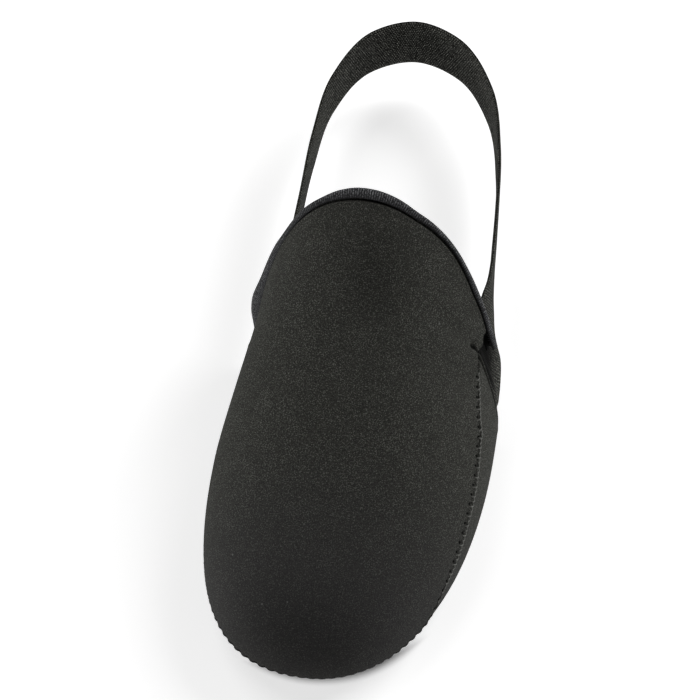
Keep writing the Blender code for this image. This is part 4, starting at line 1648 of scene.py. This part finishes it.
@dataclass
class Studio:
    """Pale floor, soft side lights and the camera."""

    aim: Triple = (-4.86, -26.54, 40.0)
    azimuth: float = 8.0
    elevation: float = 60.0
    distance: float = 950 * MM
    pixels: float = 2500.0
    zoom: float = 0.957
    raise_pixels: float = 23.0
    floor_half: float = 4.0
    glow: float = 0.60
    # Painted shadow on the floor round the toe: centre, reach and front line where the glow fades out
    toe_centre: Triple = (-6.5 * MM, -93.0 * MM, 0.0)
    painted_toe_shade: Pair = (47.0 * MM, 52.0 * MM)
    front_tilt: Triple = (-0.3, 1.0, 0.0)
    front_end: Pair = (-138.0 * MM, -127.0 * MM)
    floor_drop: float = 0.3 * MM
    floor_tone: float = 0.86
    room_glow: float = 0.04
    sensor: float = 36.0
    photo_pixels: float = 700.0
    clip: Pair = (0.01, 50.0)
    lamp_aim: Triple = (0.0, -0.05, 0.04)
    lamps: tuple[Lamp, ...] = (
        Lamp("left_low", (-1.08, -0.50, 0.24), (1.3, 0.36), 8.5),
        Lamp("right_low", (1.14, -0.25, 0.20), (1.5, 0.36), 3.7),
        Lamp("right_high", (0.78, 0.70, 0.95), (0.8, 0.8), 10.5),
        Lamp("left_high", (-0.62, 0.48, 1.40), (0.8, 0.8), 4.5),
    )

    def build(self) -> None:
        """Sets up floor, world, lights and camera."""
        scene = bpy.context.scene
        scene.view_settings.view_transform = "Standard"
        scene.view_settings.look = "None"
        self.floor()
        self.world(scene)
        for lamp in self.lamps:
            self.panel(lamp)
        self.camera(scene)

    def floor(self) -> None:
        """Pale floor just under the cover that glows evenly, with a painted shadow round the toe where the
        glow is dimmed and rises clear of it.
        """
        size = self.floor_half
        corners = [(-size, -size), (size, -size), (size, size), (-size, size)]
        mesh = bpy.data.meshes.new("floor")
        mesh.from_pydata([(x, y, -self.floor_drop) for x, y in corners], [], [(0, 1, 2, 3)])
        made = bpy.data.materials.new("pale_floor")
        made.use_nodes = True
        shader = made.node_tree.nodes["Principled BSDF"]
        graph = Graph(made.node_tree)
        graph.put(shader, Base_Color=(self.floor_tone,) * 3, Roughness=0.7, Specular_IOR_Level=0.2)
        spot = graph.node("ShaderNodeTexCoord").outputs["Object"]
        # Painted shadow: the glow is dimmed where a point is both near the toe and in front of the tilted
        # line
        clear = []
        for operation, other, reach in (
            ("DISTANCE", self.toe_centre, self.painted_toe_shade),
            ("DOT_PRODUCT", self.front_tilt, self.front_end),
        ):
            away = graph.node("ShaderNodeVectorMath", operation=operation)
            graph.feed(away.inputs[0], spot)
            graph.feed(away.inputs[1], other)
            clear.append(graph.ramp(away.outputs["Value"], *reach, 0.0, self.glow))
        graph.put(shader, Emission_Color=WHITE, Emission_Strength=graph.math("MAXIMUM", *clear))
        mesh.materials.append(made)
        floor = bpy.data.objects.new("floor", mesh)
        bpy.context.collection.objects.link(floor)

    def world(self, scene: bpy.types.Scene) -> None:
        """Dim even surroundings."""
        world = bpy.data.worlds.new("soft_room")
        world.use_nodes = True
        graph = Graph(world.node_tree)
        graph.put(world.node_tree.nodes["Background"], Color=WHITE, Strength=self.room_glow)
        scene.world = world

    def panel(self, lamp: Lamp) -> None:
        """Adds a soft light panel that faces the cover and isn't seen itself."""
        data = bpy.data.lights.new(lamp.name, "AREA")
        data.shape = "RECTANGLE"
        data.size, data.size_y = lamp.size
        data.energy = lamp.power
        made = bpy.data.objects.new(lamp.name, data)
        made.location = lamp.place
        look = Vector(self.lamp_aim) - Vector(lamp.place)
        made.rotation_euler = look.to_track_quat("-Z", "Y").to_euler()
        made.visible_camera = False
        bpy.context.collection.objects.link(made)

    def camera(self, scene: bpy.types.Scene) -> None:
        """Camera at the photograph's angle, tipped up a little to take in the band's loop."""
        turn, lift = np.radians([self.azimuth, self.elevation])
        back = np.array([np.sin(turn) * np.cos(lift), -np.cos(turn) * np.cos(lift), np.sin(lift)])
        right = np.array([np.cos(turn), np.sin(turn), 0.0])
        place = np.array(self.aim) * MM + self.distance * back
        look = -back + np.cross(back, right) * self.raise_pixels / self.pixels
        data = bpy.data.cameras.new("camera")
        data.sensor_width = self.sensor
        data.lens = self.sensor * self.pixels * self.zoom / self.photo_pixels
        data.clip_start, data.clip_end = self.clip
        camera = bpy.data.objects.new("camera", data)
        camera.location = Vector(place)
        camera.rotation_euler = Vector(look).to_track_quat("-Z", "Y").to_euler()
        bpy.context.collection.objects.link(camera)
        scene.camera = camera


def settle(piece: Thing, slot: str, *nodes: str) -> Thing:
    """Lets a piece ride on the cover, logs its finish slot and hides the solids that it stands for."""
    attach(piece, "root")
    if nodes:
        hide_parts(*nodes)
    LOG.info("%s: %d faces, slot %s", piece.name, len(piece.data.polygons), slot)
    return piece


def main() -> None:
    """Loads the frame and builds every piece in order."""
    logging.basicConfig(level=logging.INFO, format="%(name)s %(message)s")
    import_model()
    form = CoverForm()
    seam = Seam()
    collar = CollarLine()
    dresser = Dresser()
    lining = dresser.cloth(LINING_CLOTH, False)
    core = dresser.plain(FOAM_CORE)
    thread = dresser.plain(SEWING_THREAD)
    vamp = Vamp(form, seam, collar)
    panel = SolePanel(form, seam)
    upper = settle(vamp.build(dresser.cloth(UPPER_CLOTH, True), lining, core), "foam_cloth_upper", "upper")
    sole = settle(panel.build(dresser.cloth(SOLE_CLOTH_PAINTED_LIGHTER, True), lining, core), "foam_cloth_sole", "sole")
    settle(CollarTape(form, collar).build(dresser.woven(TAPE_WEAVE)), "ribbed_tape", "collar_binding")
    band = HeelBand(form)
    settle(band.build(dresser.woven(BAND_WEAVE)), "woven_elastic", "heel_strap")
    settle(SeamThread(form, seam).build(thread), "foam_cloth_upper")
    settle(band.tacks(thread), "woven_elastic")
    Studio().build()


if __name__ == "__main__":
    main()
